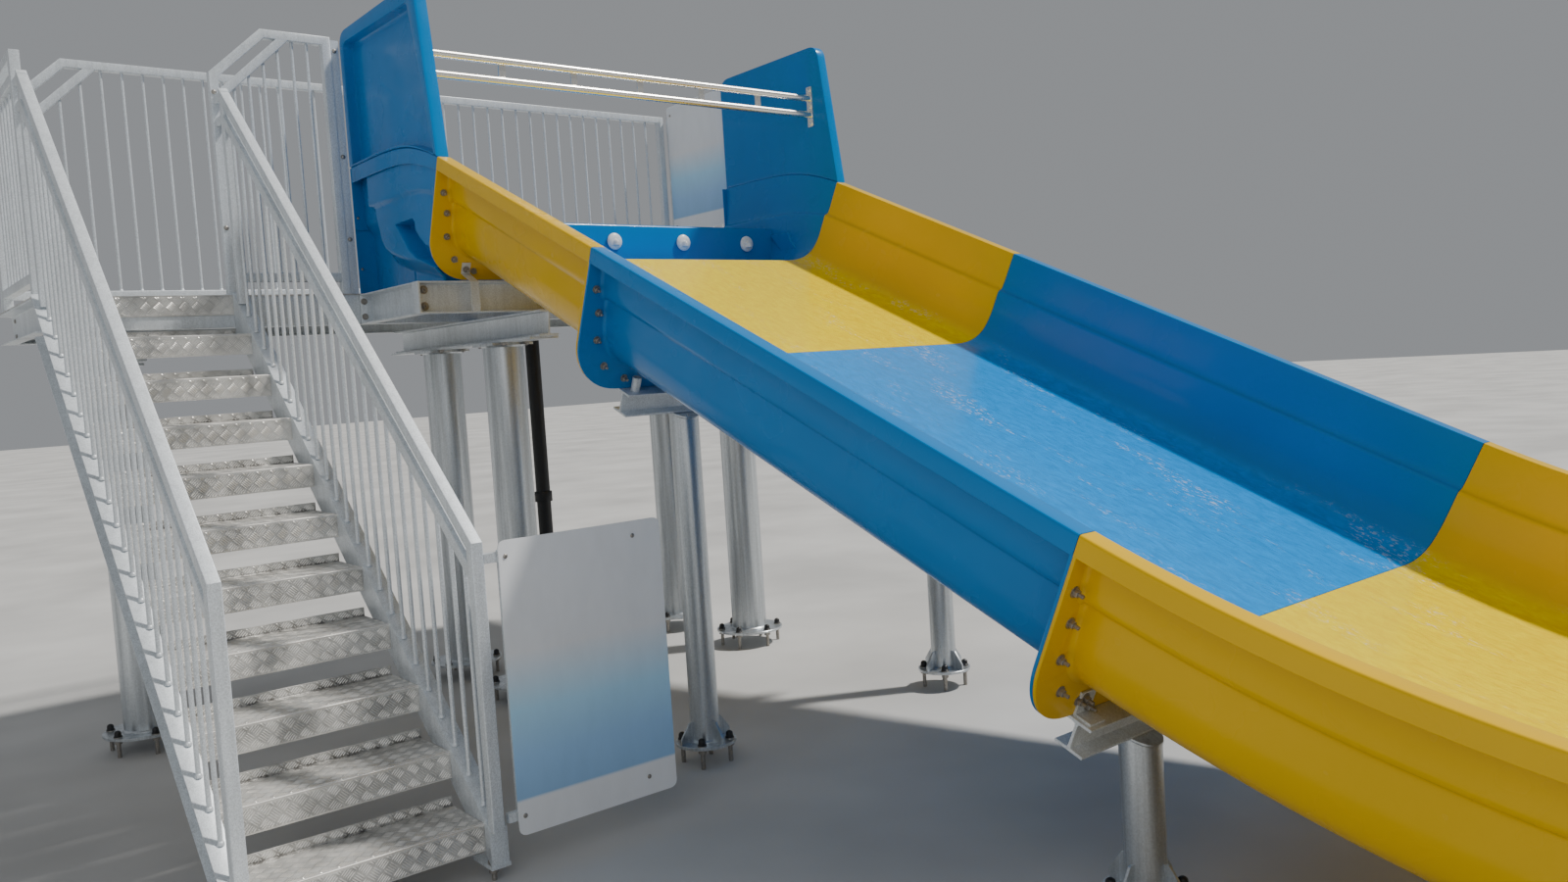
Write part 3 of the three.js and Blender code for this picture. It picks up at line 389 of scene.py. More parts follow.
def bolt_nut(across=0.019, washer=0.0155, stud=0.014):
    """A washer, a nut and the end of its stud, along +Z from zero."""
    radius, low, high = 0.0055, 0.0130, 0.0130 + stud
    end = turned([(radius, low), (radius, high), (0.8 * radius, high + 0.0012)], 10)
    return joined([bolt_head(across, washer, 0.0120, 0.0136), end])


def dome(radius=0.011, height=0.007):
    """A round-headed bolt, along +Z from zero: radius times cosine and height times sine of the rise."""
    rise = np.linspace(0, 1.35, 5)
    return turned(np.column_stack([radius * np.cos(rise), height * np.sin(rise)]), 14)


def moved(part, place):
    """A part moved to a place."""
    return placed(part, np.eye(3), place)


def studded(part, axis, spots):
    """Copies of a fastener at each spot, standing along an axis."""
    return repeated(placed(part, facing(axis)), spots)


def joined(parts):
    """Several parts as one."""
    points, faces, shift = [], {}, 0
    for rows, groups in parts:
        points.append(rows)
        for group in groups:
            faces.setdefault(group.shape[1], []).append(group + shift)
        shift += len(rows)
    return np.concatenate(points), [np.concatenate(group) for group in faces.values()]


def added(name, data):
    """A new object of the scene."""
    thing = bpy.data.objects.new(name, data)
    bpy.context.scene.collection.objects.link(thing)
    return thing


def build(name, parts, finish, replaces=(), sharp=35.0, layers=None, maps=None):
    """Makes one object at the origin out of parts in plan coordinates. layers holds one number a point
    by attribute name, and maps a UV pair a point. Faces that meet at more than sharp degrees keep an edge."""
    points, groups = joined(parts)
    mesh = bpy.data.meshes.new(name)
    faces = [face for group in groups for face in group.tolist()]
    mesh.from_pydata((points + ORIGIN).tolist(), [], faces)
    if mesh.validate(verbose=False):
        raise RuntimeError(name + " has faulty faces")
    mesh.shade_smooth()
    mesh.set_sharp_from_angle(angle=math.radians(sharp))
    for label, values in (layers or {}).items():
        layer = mesh.attributes.new(label, "FLOAT", "POINT")
        layer.data.foreach_set("value", np.asarray(values, np.float32))
    if maps is not None:
        loops = np.empty(len(mesh.loops), np.int32)
        mesh.loops.foreach_get("vertex_index", loops)
        chart = mesh.uv_layers.new(name="UVMap")
        chart.data.foreach_set("uv", np.asarray(maps, np.float32)[loops].ravel())
    mesh.materials.append(finish)
    piece = added(name, mesh)
    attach(piece, "root")
    if replaces:
        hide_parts(*replaces)


def settings(*names):
    """The scene's property groups of those names."""
    return [getattr(bpy.context.scene, "tower_" + name) for name in names]


def steelwork(name, parts, *nodes):
    """One galvanised piece."""
    build(name, parts, zinc(), nodes)


def fasteners(name, parts):
    """One piece of bolts, nuts or studs, which stands beside the solids."""
    build(name, parts, fastener())


# Materials.


def surface(name, colour, metallic, roughness):
    """A new material and its tree, main shader and Object coordinates. A material that is already there
    comes back alone."""
    made = bpy.data.materials.get(name)
    if made:
        return made, None, None, None
    made = bpy.data.materials.new(name)
    made.use_nodes = True
    tree = made.node_tree
    shader = tree.nodes["Principled BSDF"]
    shader.inputs["Base Color"].default_value = (*colour, 1)
    shader.inputs["Metallic"].default_value = metallic
    shader.inputs["Roughness"].default_value = roughness
    made.diffuse_color = (*colour, 1)
    return made, tree, shader, tree.nodes.new("ShaderNodeTexCoord").outputs["Object"]


def pattern(tree, kind, where, scale):
    """A texture node of that kind, read where the coordinates say and stretched by scale's three numbers."""
    mapping = tree.nodes.new("ShaderNodeMapping")
    mapping.inputs["Scale"].default_value = scale
    tree.links.new(where, mapping.inputs["Vector"])
    node = tree.nodes.new("ShaderNodeTex" + kind)
    tree.links.new(mapping.outputs["Vector"], node.inputs["Vector"])
    return node


def ramp(tree, factor, stops):
    """A colour ramp over a factor; stops are position, colour pairs."""
    node = tree.nodes.new("ShaderNodeValToRGB")
    tree.links.new(factor, node.inputs["Fac"])
    elements = node.color_ramp.elements
    while len(elements) < len(stops):
        elements.new(0.5)
    for element, (position, colour) in zip(elements, stops):
        element.position = position
        element.color = (*colour, 1) if len(colour) == 3 else colour
    return node.outputs["Color"]


def grey(value):
    """A grey as red, green and blue."""
    return (value, value, value)


def blended(tree, kind, factor, first, second):
    """Two colours mixed by a factor, which is a number or a socket."""
    node = tree.nodes.new("ShaderNodeMix")
    node.data_type = "RGBA"
    node.blend_type = kind
    for value, socket in ((factor, node.inputs[0]), (first, node.inputs[6]), (second, node.inputs[7])):
        if isinstance(value, bpy.types.NodeSocket):
            tree.links.new(value, socket)
        else:
            socket.default_value = value if isinstance(value, float) else (*value, 1)
    return node.outputs[2]


def relief(tree, shader, height, distance, strength):
    """Bump from a height socket."""
    node = tree.nodes.new("ShaderNodeBump")
    node.inputs["Distance"].default_value = distance
    node.inputs["Strength"].default_value = strength
    tree.links.new(height, node.inputs["Height"])
    tree.links.new(node.outputs["Normal"], shader.inputs["Normal"])


def scaled(colour, factor):
    """A colour times a number, no part of it above one."""
    return tuple(min(1.0, part * factor) for part in colour)


def noise(tree, where, scale, detail, roughness=0.5, distortion=0.0):
    """Fractal noise as a factor from zero to one, stretched by scale's three numbers."""
    node = pattern(tree, "Noise", where, scale)
    settings = {"Scale": 1.0, "Detail": detail, "Roughness": roughness, "Distortion": distortion}
    for key, value in settings.items():
        node.inputs[key].default_value = value
    return node.outputs["Fac"]


def attribute(tree, name):
    """A number kept on the mesh's points."""
    node = tree.nodes.new("ShaderNodeAttribute")
    node.attribute_name = name
    return node.outputs["Fac"]


def fade(tree, factor, low, high):
    """A grey that runs between two stops over a factor; a stop is a position and a brightness."""
    return ramp(tree, factor, [(low[0], grey(low[1])), (high[0], grey(high[1]))])


def shades(tree, factor, colour, low, high):
    """A colour that runs between two stops over a factor; a stop is a position and what the colour is
    multiplied by there."""
    return ramp(tree, factor, [(low[0], scaled(colour, low[1])), (high[0], scaled(colour, high[1]))])


def feed(shader, colour=None, roughness=None):
    """Joins sockets to the shader's colour and roughness."""
    for key, socket in (("Base Color", colour), ("Roughness", roughness)):
        if socket is not None:
            shader.id_data.links.new(socket, shader.inputs[key])


def zinc():
    """Hot-dip zinc: a spangle of cells, clouding, faint runs down the piece and a dull sheen."""
    colour = bpy.context.scene.tower_finishes.steel
    made, tree, shader, where = surface("galvanised_steel", colour, 0.35, 0.45)
    if tree is None:
        return made
    cells = pattern(tree, "Voronoi", where, (75, 75, 60)).outputs
    cloud = noise(tree, where, (5, 5, 3), 5.0, 0.6)
    runs = noise(tree, where, (40, 40, 2.5), 3.0, 0.6)
    stops = [(0.0, scaled(colour, 0.80)), (0.55, colour), (1.0, scaled(colour, 1.18))]
    spangle = ramp(tree, cells["Color"], stops)
    clouded = blended(tree, "MULTIPLY", 0.55, spangle, fade(tree, cloud, (0.3, 0.72), (0.65, 1.0)))
    run = blended(tree, "MULTIPLY", 0.35, clouded, fade(tree, runs, (0.35, 0.7), (0.6, 1.0)))
    feed(shader, run, fade(tree, cloud, (0.25, 0.56), (0.7, 0.36)))
    relief(tree, shader, cells["Distance"], 0.0003, 0.25)
    return made


def drawn_tube():
    """Zinc on drawn tube: smoother than on rolled steel, with long streaks down the tube."""
    colour = scaled(bpy.context.scene.tower_finishes.steel, 0.86)
    made, tree, shader, where = surface("drawn_tube_zinc", colour, 0.85, 0.34)
    if tree is None:
        return made
    streak = noise(tree, where, (38, 38, 1.2), 4.0, 0.6)
    cells = pattern(tree, "Voronoi", where, (55, 55, 40))
    spangle = shades(tree, cells.outputs["Color"], colour, (0.0, 0.88), (1.0, 1.10))
    streaked = blended(tree, "MULTIPLY", 0.7, spangle, fade(tree, streak, (0.36, 0.62), (0.60, 1.0)))
    feed(shader, streaked, fade(tree, streak, (0.3, 0.44), (0.7, 0.26)))
    return made


def chequer():
    """Rolled plate: bright metal where its brightening attribute is high, which is wear on the raised bars
    and the nosing together with a painted highlight along both convex edges of the treads' front fold;
    dull and dusty between the bars, and stained dark in patches where the dirt attribute is high."""
    finishes = bpy.context.scene.tower_finishes
    made, tree, shader, where = surface("rolled_chequer", finishes.plate, 0.55, 0.38)
    if tree is None:
        return made
    wear_and_highlight, dirt = attribute(tree, "wear_and_highlight"), attribute(tree, "dirt")
    dust = noise(tree, where, (9, 14, 9), 6.0, 0.65)
    stain = noise(tree, where, (28, 28, 28), 4.0, 0.7)
    base = ramp(tree, dust, [(0.34, scaled(finishes.plate, 0.62)), (0.62, finishes.plate)])
    # Bright metal mixed in: wear on the bars and the nosing, and a painted highlight along the treads' folded
    # edges.
    brightened = blended(tree, "MIX", wear_and_highlight, base, finishes.bright)
    speck = blended(tree, "MULTIPLY", 0.35, brightened, fade(tree, dust, (0.38, 0.62), (0.56, 1.0)))
    patch = blended(tree, "MULTIPLY", 1.0, dirt, fade(tree, stain, (0.40, 0.0), (0.60, 0.8)))
    dull, polish = fade(tree, dust, (0.3, 0.50), (0.7, 0.34)), grey(0.26)
    colour = blended(tree, "MIX", patch, speck, GRIME)
    feed(shader, colour, blended(tree, "MIX", wear_and_highlight, dull, polish))
    return made


def shell_coat(name, colour, roughness, coat_roughness):
    """What both gelcoats share: slightly clouded colour, a hazy gloss under a clear coat and the slow
    waves of laid-up glass fibre. Gives surface's four values, then base colour, gloss and waves."""
    made, tree, shader, where = surface(name, colour, 0.0, roughness)
    if tree is None:
        return [made] + [None] * 6
    shader.inputs["Specular IOR Level"].default_value = 0.22
    shader.inputs["Coat Weight"].default_value = 0.12
    shader.inputs["Coat Roughness"].default_value = coat_roughness
    base = shades(tree, noise(tree, where, (1.6, 1.6, 1.6), 3.0), colour, (0.3, 0.94), (0.7, 1.05))
    gloss = fade(tree, noise(tree, where, (6, 6, 6), 2.0), (0.35, 0.22), (0.7, 0.30))
    return made, tree, shader, where, base, gloss, noise(tree, where, (1.9, 1.9, 1.9), 0.0)


def gelcoat(name, colour):
    """Glossy shell with faint runs on the steep faces."""
    made, tree, shader, where, base, gloss, wave = shell_coat(name, colour, 0.28, 0.08)
    if tree is None:
        return made
    runs = noise(tree, where, (12, 12, 0.9), 2.0)
    run = blended(tree, "MULTIPLY", 0.10, base, fade(tree, runs, (0.35, 0.75), (0.55, 1.0)))
    feed(shader, run, gloss)
    relief(tree, shader, wave, 0.004, 0.5)
    return made


def wet_gelcoat_with_painted_light(name, colour):
    """Gelcoat with a running film on the floor: UV is across and along the slope in metres, and a point
    attribute is 1 on the floor. The film is smoother, is painted up to 1.65 times brighter in rippled
    patches as painted sunlight and sheen, and carries thin pale streaks and specks of foam down the slope."""
    made, tree, shader, _, base, dry_gloss, wave = shell_coat(name, colour, 0.26, 0.06)
    if tree is None:
        return made
    chart = tree.nodes.new("ShaderNodeUVMap").outputs["UV"]
    wet_and_painted_light = attribute(tree, "wet_and_painted_light")
    ripple = noise(tree, chart, (34, 16, 1), 5.0, 0.65, 0.6)
    patches = noise(tree, chart, (5.5, 1.6, 1), 3.0, distortion=0.5)
    foam = noise(tree, chart, (70, 34, 1), 5.0, 0.75, 0.5)
    # Painted light: where the ripple noise is high, the floor's colour is painted up to 1.65 times brighter,
    # standing in for sunlight and sheen on the water.
    film_with_painted_light = blended(tree, "MIX", fade(tree, ripple, (0.35, 0.35), (0.70, 0.90)), base, scaled(colour, 1.65))
    specks = fade(tree, foam, (0.53, 0.0), (0.63, 1.0))
    foamy = blended(tree, "MULTIPLY", 1.0, specks, fade(tree, patches, (0.54, 0.0), (0.64, 0.9)))
    pale = tuple(part * 0.5 + 0.45 for part in colour)
    foamed = blended(tree, "MIX", foamy, film_with_painted_light, pale)
    gloss = blended(tree, "MIX", wet_and_painted_light, dry_gloss, grey(0.12))
    feed(shader, blended(tree, "MIX", wet_and_painted_light, base, foamed), gloss)
    relief(tree, shader, blended(tree, "MIX", wet_and_painted_light, wave, ripple), 0.005, 0.6)
    return made


def polished():
    """Satin stainless tube with a fine brushed ring pattern."""
    finishes = bpy.context.scene.tower_finishes
    made, tree, shader, where = surface("stainless_tube", finishes.bright, 1.0, 0.28)
    if tree is None:
        return made
    brushing = noise(tree, where, (900, 30, 30), 2.0)
    feed(shader, roughness=fade(tree, brushing, (0.3, 0.22), (0.7, 0.34)))
    return made


def plain(name, colour, metallic, roughness, grain=120.0):
    """A small part's finish: its colour clouded a little by fine noise."""
    made, tree, shader, where = surface(name, colour, metallic, roughness)
    if tree is None:
        return made
    cloud = noise(tree, where, (grain, grain, grain), 3.0)
    rough, smooth = min(1.0, roughness * 1.2), roughness * 0.85
    clouded = shades(tree, cloud, colour, (0.3, 0.8), (0.7, 1.1))
    feed(shader, clouded, fade(tree, cloud, (0.3, rough), (0.7, smooth)))
    return made


def fastener():
    """Dull zinc of bolts and nuts."""
    return plain("fasteners", bpy.context.scene.tower_finishes.bolt, 0.8, 0.42)


def board_finish():
    """A pale coated face with a soft blue wash across the lower half."""
    finishes = bpy.context.scene.tower_finishes
    board, band = finishes.board, finishes.band
    made, tree, shader, where = surface("board_face", board, 0.0, 0.35)
    if tree is None:
        return made
    chart = tree.nodes.new("ShaderNodeUVMap").outputs["UV"]
    split = tree.nodes.new("ShaderNodeSeparateXYZ")
    tree.links.new(chart, split.inputs["Vector"])
    stops = [
        (0.0, board), (0.115, scaled(board, 0.98)), (0.125, scaled(band, 1.15)), (0.26, scaled(band, 1.3)),
        (0.42, scaled(band, 1.65)), (0.62, scaled(board, 0.97)), (1.0, board),
    ]
    wash = ramp(tree, split.outputs["Y"], stops)
    dust = noise(tree, where, (14, 14, 5), 5.0, 0.6)
    dusty = blended(tree, "MULTIPLY", 0.25, wash, fade(tree, dust, (0.3, 0.8), (0.6, 1.0)))
    feed(shader, dusty)
    return made


# The channel.


# Half of the channel's inner face, across and up from the middle of the floor, and how far across its rim is.
FACE = [
    (0, 0), (0.897, 0), (0.957, 0.006), (1.012, 0.026), (1.050, 0.062), (1.068, 0.105),
    (1.078, 0.150), (1.086, 0.262), (1.106, 0.270), (1.112, 0.300),
]
FACE_TOP = 1.124
# Bolts round a joint, across and up, from the right rim to the floor.
BOLT_PLACES = [
    (1.146, 0.293), (1.122, 0.203), (1.112, 0.098), (1.066, -0.006), (0.968, -0.060), (0.790, -0.060),
    (0.530, -0.060), (0.265, -0.060),
]
# Half the gap between two flanges, and how far a shell's end stands back from the joint.
JOINT_GAP = 0.00015
END_BACK = 0.0012


def inner_half(slide):
    """Half of the channel's inner face as across, up points from the middle of the floor to the rim."""
    return softened(FACE + [(FACE_TOP, slide.rim)], 4)


def trough(slide, extra=0.0):
    """The channel's closed section, anticlockwise: outer skin, right rim and lip, inner face, left rim.
    extra thickens the outer skin, as a fillet does near a flange."""
    inner = inner_half(slide)
    outer = offset(inner, slide.skin + extra)
    outer[0, 0] = 0.0
    under, foot, edge = slide.rim - slide.skin, slide.rim - slide.lip, slide.half
    outer = outer[outer[:, 1] < under - 0.012]
    wall = inner[-1, 0] + slide.skin + extra
    corners = [
        (*outer[-1], 0), (wall, under, 0.006), (edge - slide.skin, under, 0.004),
        (edge - slide.skin, foot, 0.003), (edge, foot, 0.003), (edge, slide.rim, 0.008),
        (inner[-1, 0], slide.rim, 0.006), (*inner[-2], 0),
    ]
    right = np.vstack([outer[:-1], eased(corners, 4, closed=False), inner[::-1][2:]])
    left = right[1:-1][::-1] * (-1, 1)
    return np.vstack([right, left])


def slide_line(slide, s):
    """Floor point, up and downhill directions at a distance s along the floor: straight down the slope,
    then an arc that levels out, then level."""
    s = np.asarray(s, float)
    a, b, c, _ = slide.sections
    slope, straight = slide.slope, a + b
    radius = c / slope
    angle = slope - np.clip((s - straight) / radius, 0, slope)
    run, after = np.minimum(s, straight), np.maximum(s - straight - c, 0)
    y = slide.start_y - run * np.cos(slope) - radius * (np.sin(slope) - np.sin(angle)) - after
    z = slide.start_z - run * np.sin(slope) - radius * (np.cos(angle) - np.cos(slope))
    zero = np.zeros_like(s)
    place = np.stack([zero + slide.middle, y, z], -1)
    up = np.stack([zero, -np.sin(angle), np.cos(angle)], -1)
    way = np.stack([zero, -np.cos(angle), -np.sin(angle)], -1)
    return place, up, way


def beside_joint(joint, height, ahead):
    """The y, z of a point at a height above a joint's floor and a distance downhill from it. A joint is
    its floor point, its up and its downhill direction."""
    place, up, way = joint
    point = place + up * height + way * ahead
    return float(point[1]), float(point[2])


def downhill(way):
    """A matrix that turns +Z downhill and keeps X."""
    return np.column_stack([X_AXIS, np.cross(way, X_AXIS), way])


def swept(slide, s, extra):
    """The channel's section at each distance s, its outer skin thicker by extra there."""
    step = 0.001
    thin, thick = trough(slide), trough(slide, step)
    ring = thin[None] + (thick - thin)[None] * (extra / step)[:, None, None]
    place, up, _ = slide_line(slide, s)
    return place[:, None] + ring[..., :1] * X_AXIS + ring[..., 1:] * up[:, None], ring


def fillet_rows(slide, start, end, rows):
    """Distances along a section, close together near both ends, and the fillet's height at each: the
    radius less the circle's own height, which is zero one radius from the flange."""
    face, r, size, spare = slide.flange - 0.001, slide.fillet, end - start, 0.02
    near = face + r * (1 - np.cos(np.linspace(0, np.pi / 2, 8)))
    middle = np.linspace(face + r + spare, size - face - r - spare, rows)
    local = np.concatenate([[END_BACK], near, middle, size - near[::-1], [size - END_BACK]])
    gap = np.clip(np.minimum(local, size - local) - face, 0, r)
    return start + local, r - np.sqrt(np.maximum(r**2 - (r - gap) ** 2, 0))


def flange_plate(slide, s, low, high):
    """The plate round a section's end between two distances from the joint: a rounded strip between the
    wall's line and an outer line with round lower corners, carried from one rim round to the other."""
    half, top, bevel = slide.half - 0.0004, slide.rim - slide.lip + 0.006, 0.0018
    floor_end, wall_start = 0.912, 0.110
    inner = offset(inner_half(slide), slide.skin / 2)
    inner[0, 0] = 0.0
    outer_corner = half - slide.corner
    u = np.linspace(0, 1, 70)
    along = np.concatenate([[0], np.cumsum(np.linalg.norm(np.diff(inner, axis=0), axis=1))])
    bend, rise = np.searchsorted(inner[:, 0], floor_end), np.searchsorted(inner[:, 1], wall_start)
    share = np.array([0, 0.3, 0.62, 1.0])
    where = np.interp(u, share, [0, along[bend], along[rise], along[-1]])
    inside_up = np.minimum(np.interp(where, along, inner[:, 1]), top)
    inside = np.stack([np.interp(where, along, inner[:, 0]), inside_up], 1)
    bent = np.clip((u - share[1]) / (share[2] - share[1]), 0, 1) * np.pi / 2
    flat = np.clip(u / share[1], 0, 1) * outer_corner
    climb = np.clip((u - share[2]) / (1 - share[2]), 0, 1) * (top - slide.corner + slide.below)
    outside_up = -slide.below + slide.corner * (1 - np.cos(bent)) + climb
    outside = np.stack([flat + slide.corner * np.sin(bent), outside_up], 1)
    inside = np.vstack([inside[1:][::-1] * (-1, 1), inside])
    outside = np.vstack([outside[1:][::-1] * (-1, 1), outside])
    soft = bevel / np.linalg.norm(outside - inside, axis=1)
    thick = high - low
    rows = []
    for across, deep in ((0, 0), (1, 0), (1, bevel), (1, thick - bevel), (1, thick), (0, thick)):
        pull = soft if across and deep in (0, thick) else 0 * soft
        point = inside + (outside - inside) * (across - pull)[:, None]
        rows.append(np.column_stack([point, np.full(len(point), low + deep)]))
    grid = np.stack(rows, 1)
    place, up, way = slide_line(slide, s)
    return shell(place + grid[..., :1] * X_AXIS + grid[..., 1:2] * up + grid[..., 2:] * way)


def flange_bolts(slide, s):
    """Bolt places round a joint, on both sides and in the middle, and the joint's downhill direction."""
    right = np.array(BOLT_PLACES)
    both = np.vstack([right, right * (-1, 1), [(0.0, BOLT_PLACES[-1][1])]])
    place, up, way = slide_line(slide, s)
    return place + both[:, :1] * X_AXIS + both[:, 1:] * up, way


def floor_film_and_painted_light(slide, across, height):
    """One on the inner face of the floor, fading to zero where the walls begin. It marks the water film and
    the painted light on the floor.
    """
    inner = inner_half(slide)
    inside = height > np.interp(np.abs(across), inner[:, 0], inner[:, 1]) - 0.004
    return np.clip((0.050 - height) / 0.035, 0, 1) * inside


def build_wet_with_painted_light(name, skin, others, film_with_painted_light, chart, look, node, sharp):
    """Builds a shell that carries water, with painted light on its floor. The floor mask and the chart give
    the skin's points their attribute for water and painted light, and their UV; the other parts are dry
    and have no chart."""
    finish, slot = look
    rest = sum(len(part[0]) for part in others)
    wet_and_painted_light = np.concatenate([film_with_painted_light.ravel(), np.zeros(rest)])
    maps = np.vstack([chart.reshape(-1, 2), np.zeros((rest, 2))])
    build(name, [skin] + others, finish, [node], sharp, {"wet_and_painted_light": wet_and_painted_light}, maps)


class TOWER_OT_channel(Operator):
    """Builds the channel's four sections with their flanges and joint bolts"""

    bl_idname = "tower.channel"
    bl_label = "Channel"

    def execute(self, context):
        slide, finishes = settings("slide", "finishes")
        looks = [
            (wet_gelcoat_with_painted_light("wet_yellow_gelcoat_painted_light", finishes.yellow), "yellow_shell"),
            (wet_gelcoat_with_painted_light("wet_blue_gelcoat_painted_light", finishes.blue), "blue_shell"),
        ]
        bent_section, many_rows, few_rows = 3, 48, 10
        start = 0.0
        for number, size in enumerate(slide.sections, 1):
            rows = many_rows if number == bent_section else few_rows
            s, extra = fillet_rows(slide, start, start + size, rows)
            grid, ring = swept(slide, s, extra)
            across, height = ring[..., 0], ring[..., 1]
            chart = np.stack([across, np.broadcast_to(s[:, None], across.shape)], -1)
            plates = [
                flange_plate(slide, start, JOINT_GAP, slide.flange),
                flange_plate(slide, start + size, -slide.flange, -JOINT_GAP),
            ]
            film_with_painted_light, look = floor_film_and_painted_light(slide, across, height), looks[(number - 1) % 2]
            node = "slide_section_%d" % number
            build_wet_with_painted_light("channel_%d" % number, shell(grid), plates, film_with_painted_light, chart, look, node, 30)
            start += size
        parts = []
        joints = np.concatenate([[0], np.cumsum(slide.sections)])
        for s in joints:
            places, way = flange_bolts(slide, s)
            if s < joints[-1]:
                nut = placed(bolt_nut(), downhill(way))
                parts.append(repeated(nut, places + way * slide.flange))
            if s > 0:
                head = placed(bolt_head(), downhill(-way))
                parts.append(repeated(head, places - way * slide.flange))
        fasteners("channel_bolts", parts)
        return {"FINISHED"}


# The tub and what stands on it.


# The tub's floor line and rim line in front of the joint, as y, z points from the joint to the back.
TUB_FLOOR = [
    (-0.588, 2.1255), (-0.545, 2.112), (-0.480, 2.104), (-0.400, 2.100), (-0.270, 2.098), (-0.110, 2.098),
]
TUB_RIM = [
    (-0.742, 2.573), (-0.655, 2.602), (-0.540, 2.634), (-0.400, 2.656), (-0.270, 2.664), (-0.110, 2.667),
]
# The heights of both lines at the back, how far they end before it, and the steel's top under the tub.
FLOOR_BACK, RIM_BACK, BACK_GAP, TUB_FOOT = 2.098, 2.666, 0.004, 2.045
# The raised parts on a cheek of the tub and the hooked hollow in them, as y, z outlines.
BROW = [
    (0.058, 2.442), (0.060, 2.720), (-0.270, 2.720), (-0.830, 2.600), (-0.790, 2.380), (-0.683, 2.408),
    (-0.558, 2.434), (-0.426, 2.444), (-0.260, 2.443),
]
PANEL = [
    (0.028, 2.560), (0.020, 2.409), (-0.002, 2.339), (-0.024, 2.270), (-0.066, 2.222), (-0.131, 2.188),
    (-0.235, 2.157), (-0.335, 2.134), (-0.480, 2.108), (-0.700, 2.060), (-0.860, 2.520),
]
HOOK = [
    (-0.235, 2.334), (-0.433, 2.336), (-0.452, 2.318), (-0.457, 2.281), (-0.495, 2.243), (-0.552, 2.203),
    (-0.700, 2.160), (-0.690, 2.060), (-0.617, 2.094), (-0.495, 2.142), (-0.432, 2.160), (-0.370, 2.196),
    (-0.330, 2.236), (-0.290, 2.280),
]
# The cheek's own wall, the step in it, the panel and the brow from the middle, and the hook's depth.
CHEEK_WALL, CHEEK_STEP, PANEL_OUT, BROW_OUT, HOOK_DEPTH = 1.097, 0.038, 1.160, 1.172, 0.085


def start_curves(slide, start):
    """The tub's floor line and rim line as matching rows of y, z, from the back to the first joint. Both
    are eased lines through a few points; the rim arches over the basin."""
    across, along = math.sin(slide.slope), math.cos(slide.slope)
    back, lines = start.back - BACK_GAP, []
    for height, points, end in ((0.0, TUB_FLOOR, FLOOR_BACK), (slide.rim, TUB_RIM, RIM_BACK)):
        first = (
            slide.start_y - across * height + along * END_BACK,
            slide.start_z + along * height + across * END_BACK,
        )
        lines.append(softened([first] + points + [(back, end)], 8)[::-1])
    return lines


def smooth_step(low, high, value):
    """Zero below low, one above high, 3t^2 - 2t^3 between."""
    t = np.clip((value - low) / (high - low), 0, 1)
    return t * t * (3 - 2 * t)


def depth_inside(outline, y, z):
    """How far each point lies inside a closed outline, negative outside: the distance to the nearest
    edge, signed by the number of edges that a ray along y crosses."""
    a = np.asarray(outline, float)
    b = np.roll(a, -1, 0)
    edge, point = b - a, np.stack([y, z], -1)[..., None, :]
    t = np.clip(np.sum((point - a) * edge, -1) / np.sum(edge**2, -1), 0, 1)
    far = np.linalg.norm(point - a - t[..., None] * edge, axis=-1).min(-1)
    rise = np.where(edge[:, 1] == 0, 1e-9, edge[:, 1])
    spans = (a[:, 1] > point[..., 1]) != (b[:, 1] > point[..., 1])
    crossed = spans & (point[..., 0] < a[:, 0] + (point[..., 1] - a[:, 1]) / rise * edge[:, 0])
    return np.where(crossed.sum(-1) % 2, far, -far)


def cheek(slide, start, sign):
    """A cheek: lines from the frame up to the rim's underside, and on them a height field. It blends the
    wall out to the raised panel, then out to the brow, less the hook; the inside is ten millimetres in."""
    _, rim = start_curves(slide, start)
    back, top_front, low_front, thick = start.back - BACK_GAP, -0.798, -0.575, 0.010
    foot, step_up = 2.0308, 0.0052
    u = np.concatenate([np.linspace(0, 0.42, 44), np.linspace(0.42, 1, 112)[1:]])[:, None]
    v = np.concatenate([np.linspace(0, 0.52, 78), np.linspace(0.52, 1, 40)[1:]])[None]
    top_y, low_y = back + (top_front - back) * u, back + (low_front - back) * u
    top_z = np.interp(top_y, rim[::-1, 0], rim[::-1, 1]) - 0.005
    low_z = foot + step_up * smooth_step(-0.012, -0.0005, low_y)
    y, z = low_y + (top_y - low_y) * v, low_z + (top_z - low_z) * v
    brow = smooth_step(-0.006, 0.018, depth_inside(BROW, y, z))
    panel = smooth_step(-0.042, 0.040, depth_inside(PANEL, y, z))
    hook = smooth_step(-0.002, 0.014, depth_inside(HOOK, y, z))
    wall = CHEEK_WALL + CHEEK_STEP * smooth_step(2.318, 2.398, z)
    wall = wall + (PANEL_OUT - wall) * panel
    out = slide.middle + sign * (wall + (BROW_OUT - wall) * brow - HOOK_DEPTH * hook)
    front = np.stack([out, y, z], -1)
    inside = front - (sign * thick, 0, 0)
    grid = np.concatenate([front, inside[:, ::-1]], 1)
    return shell(grid if sign > 0 else grid[:, ::-1])


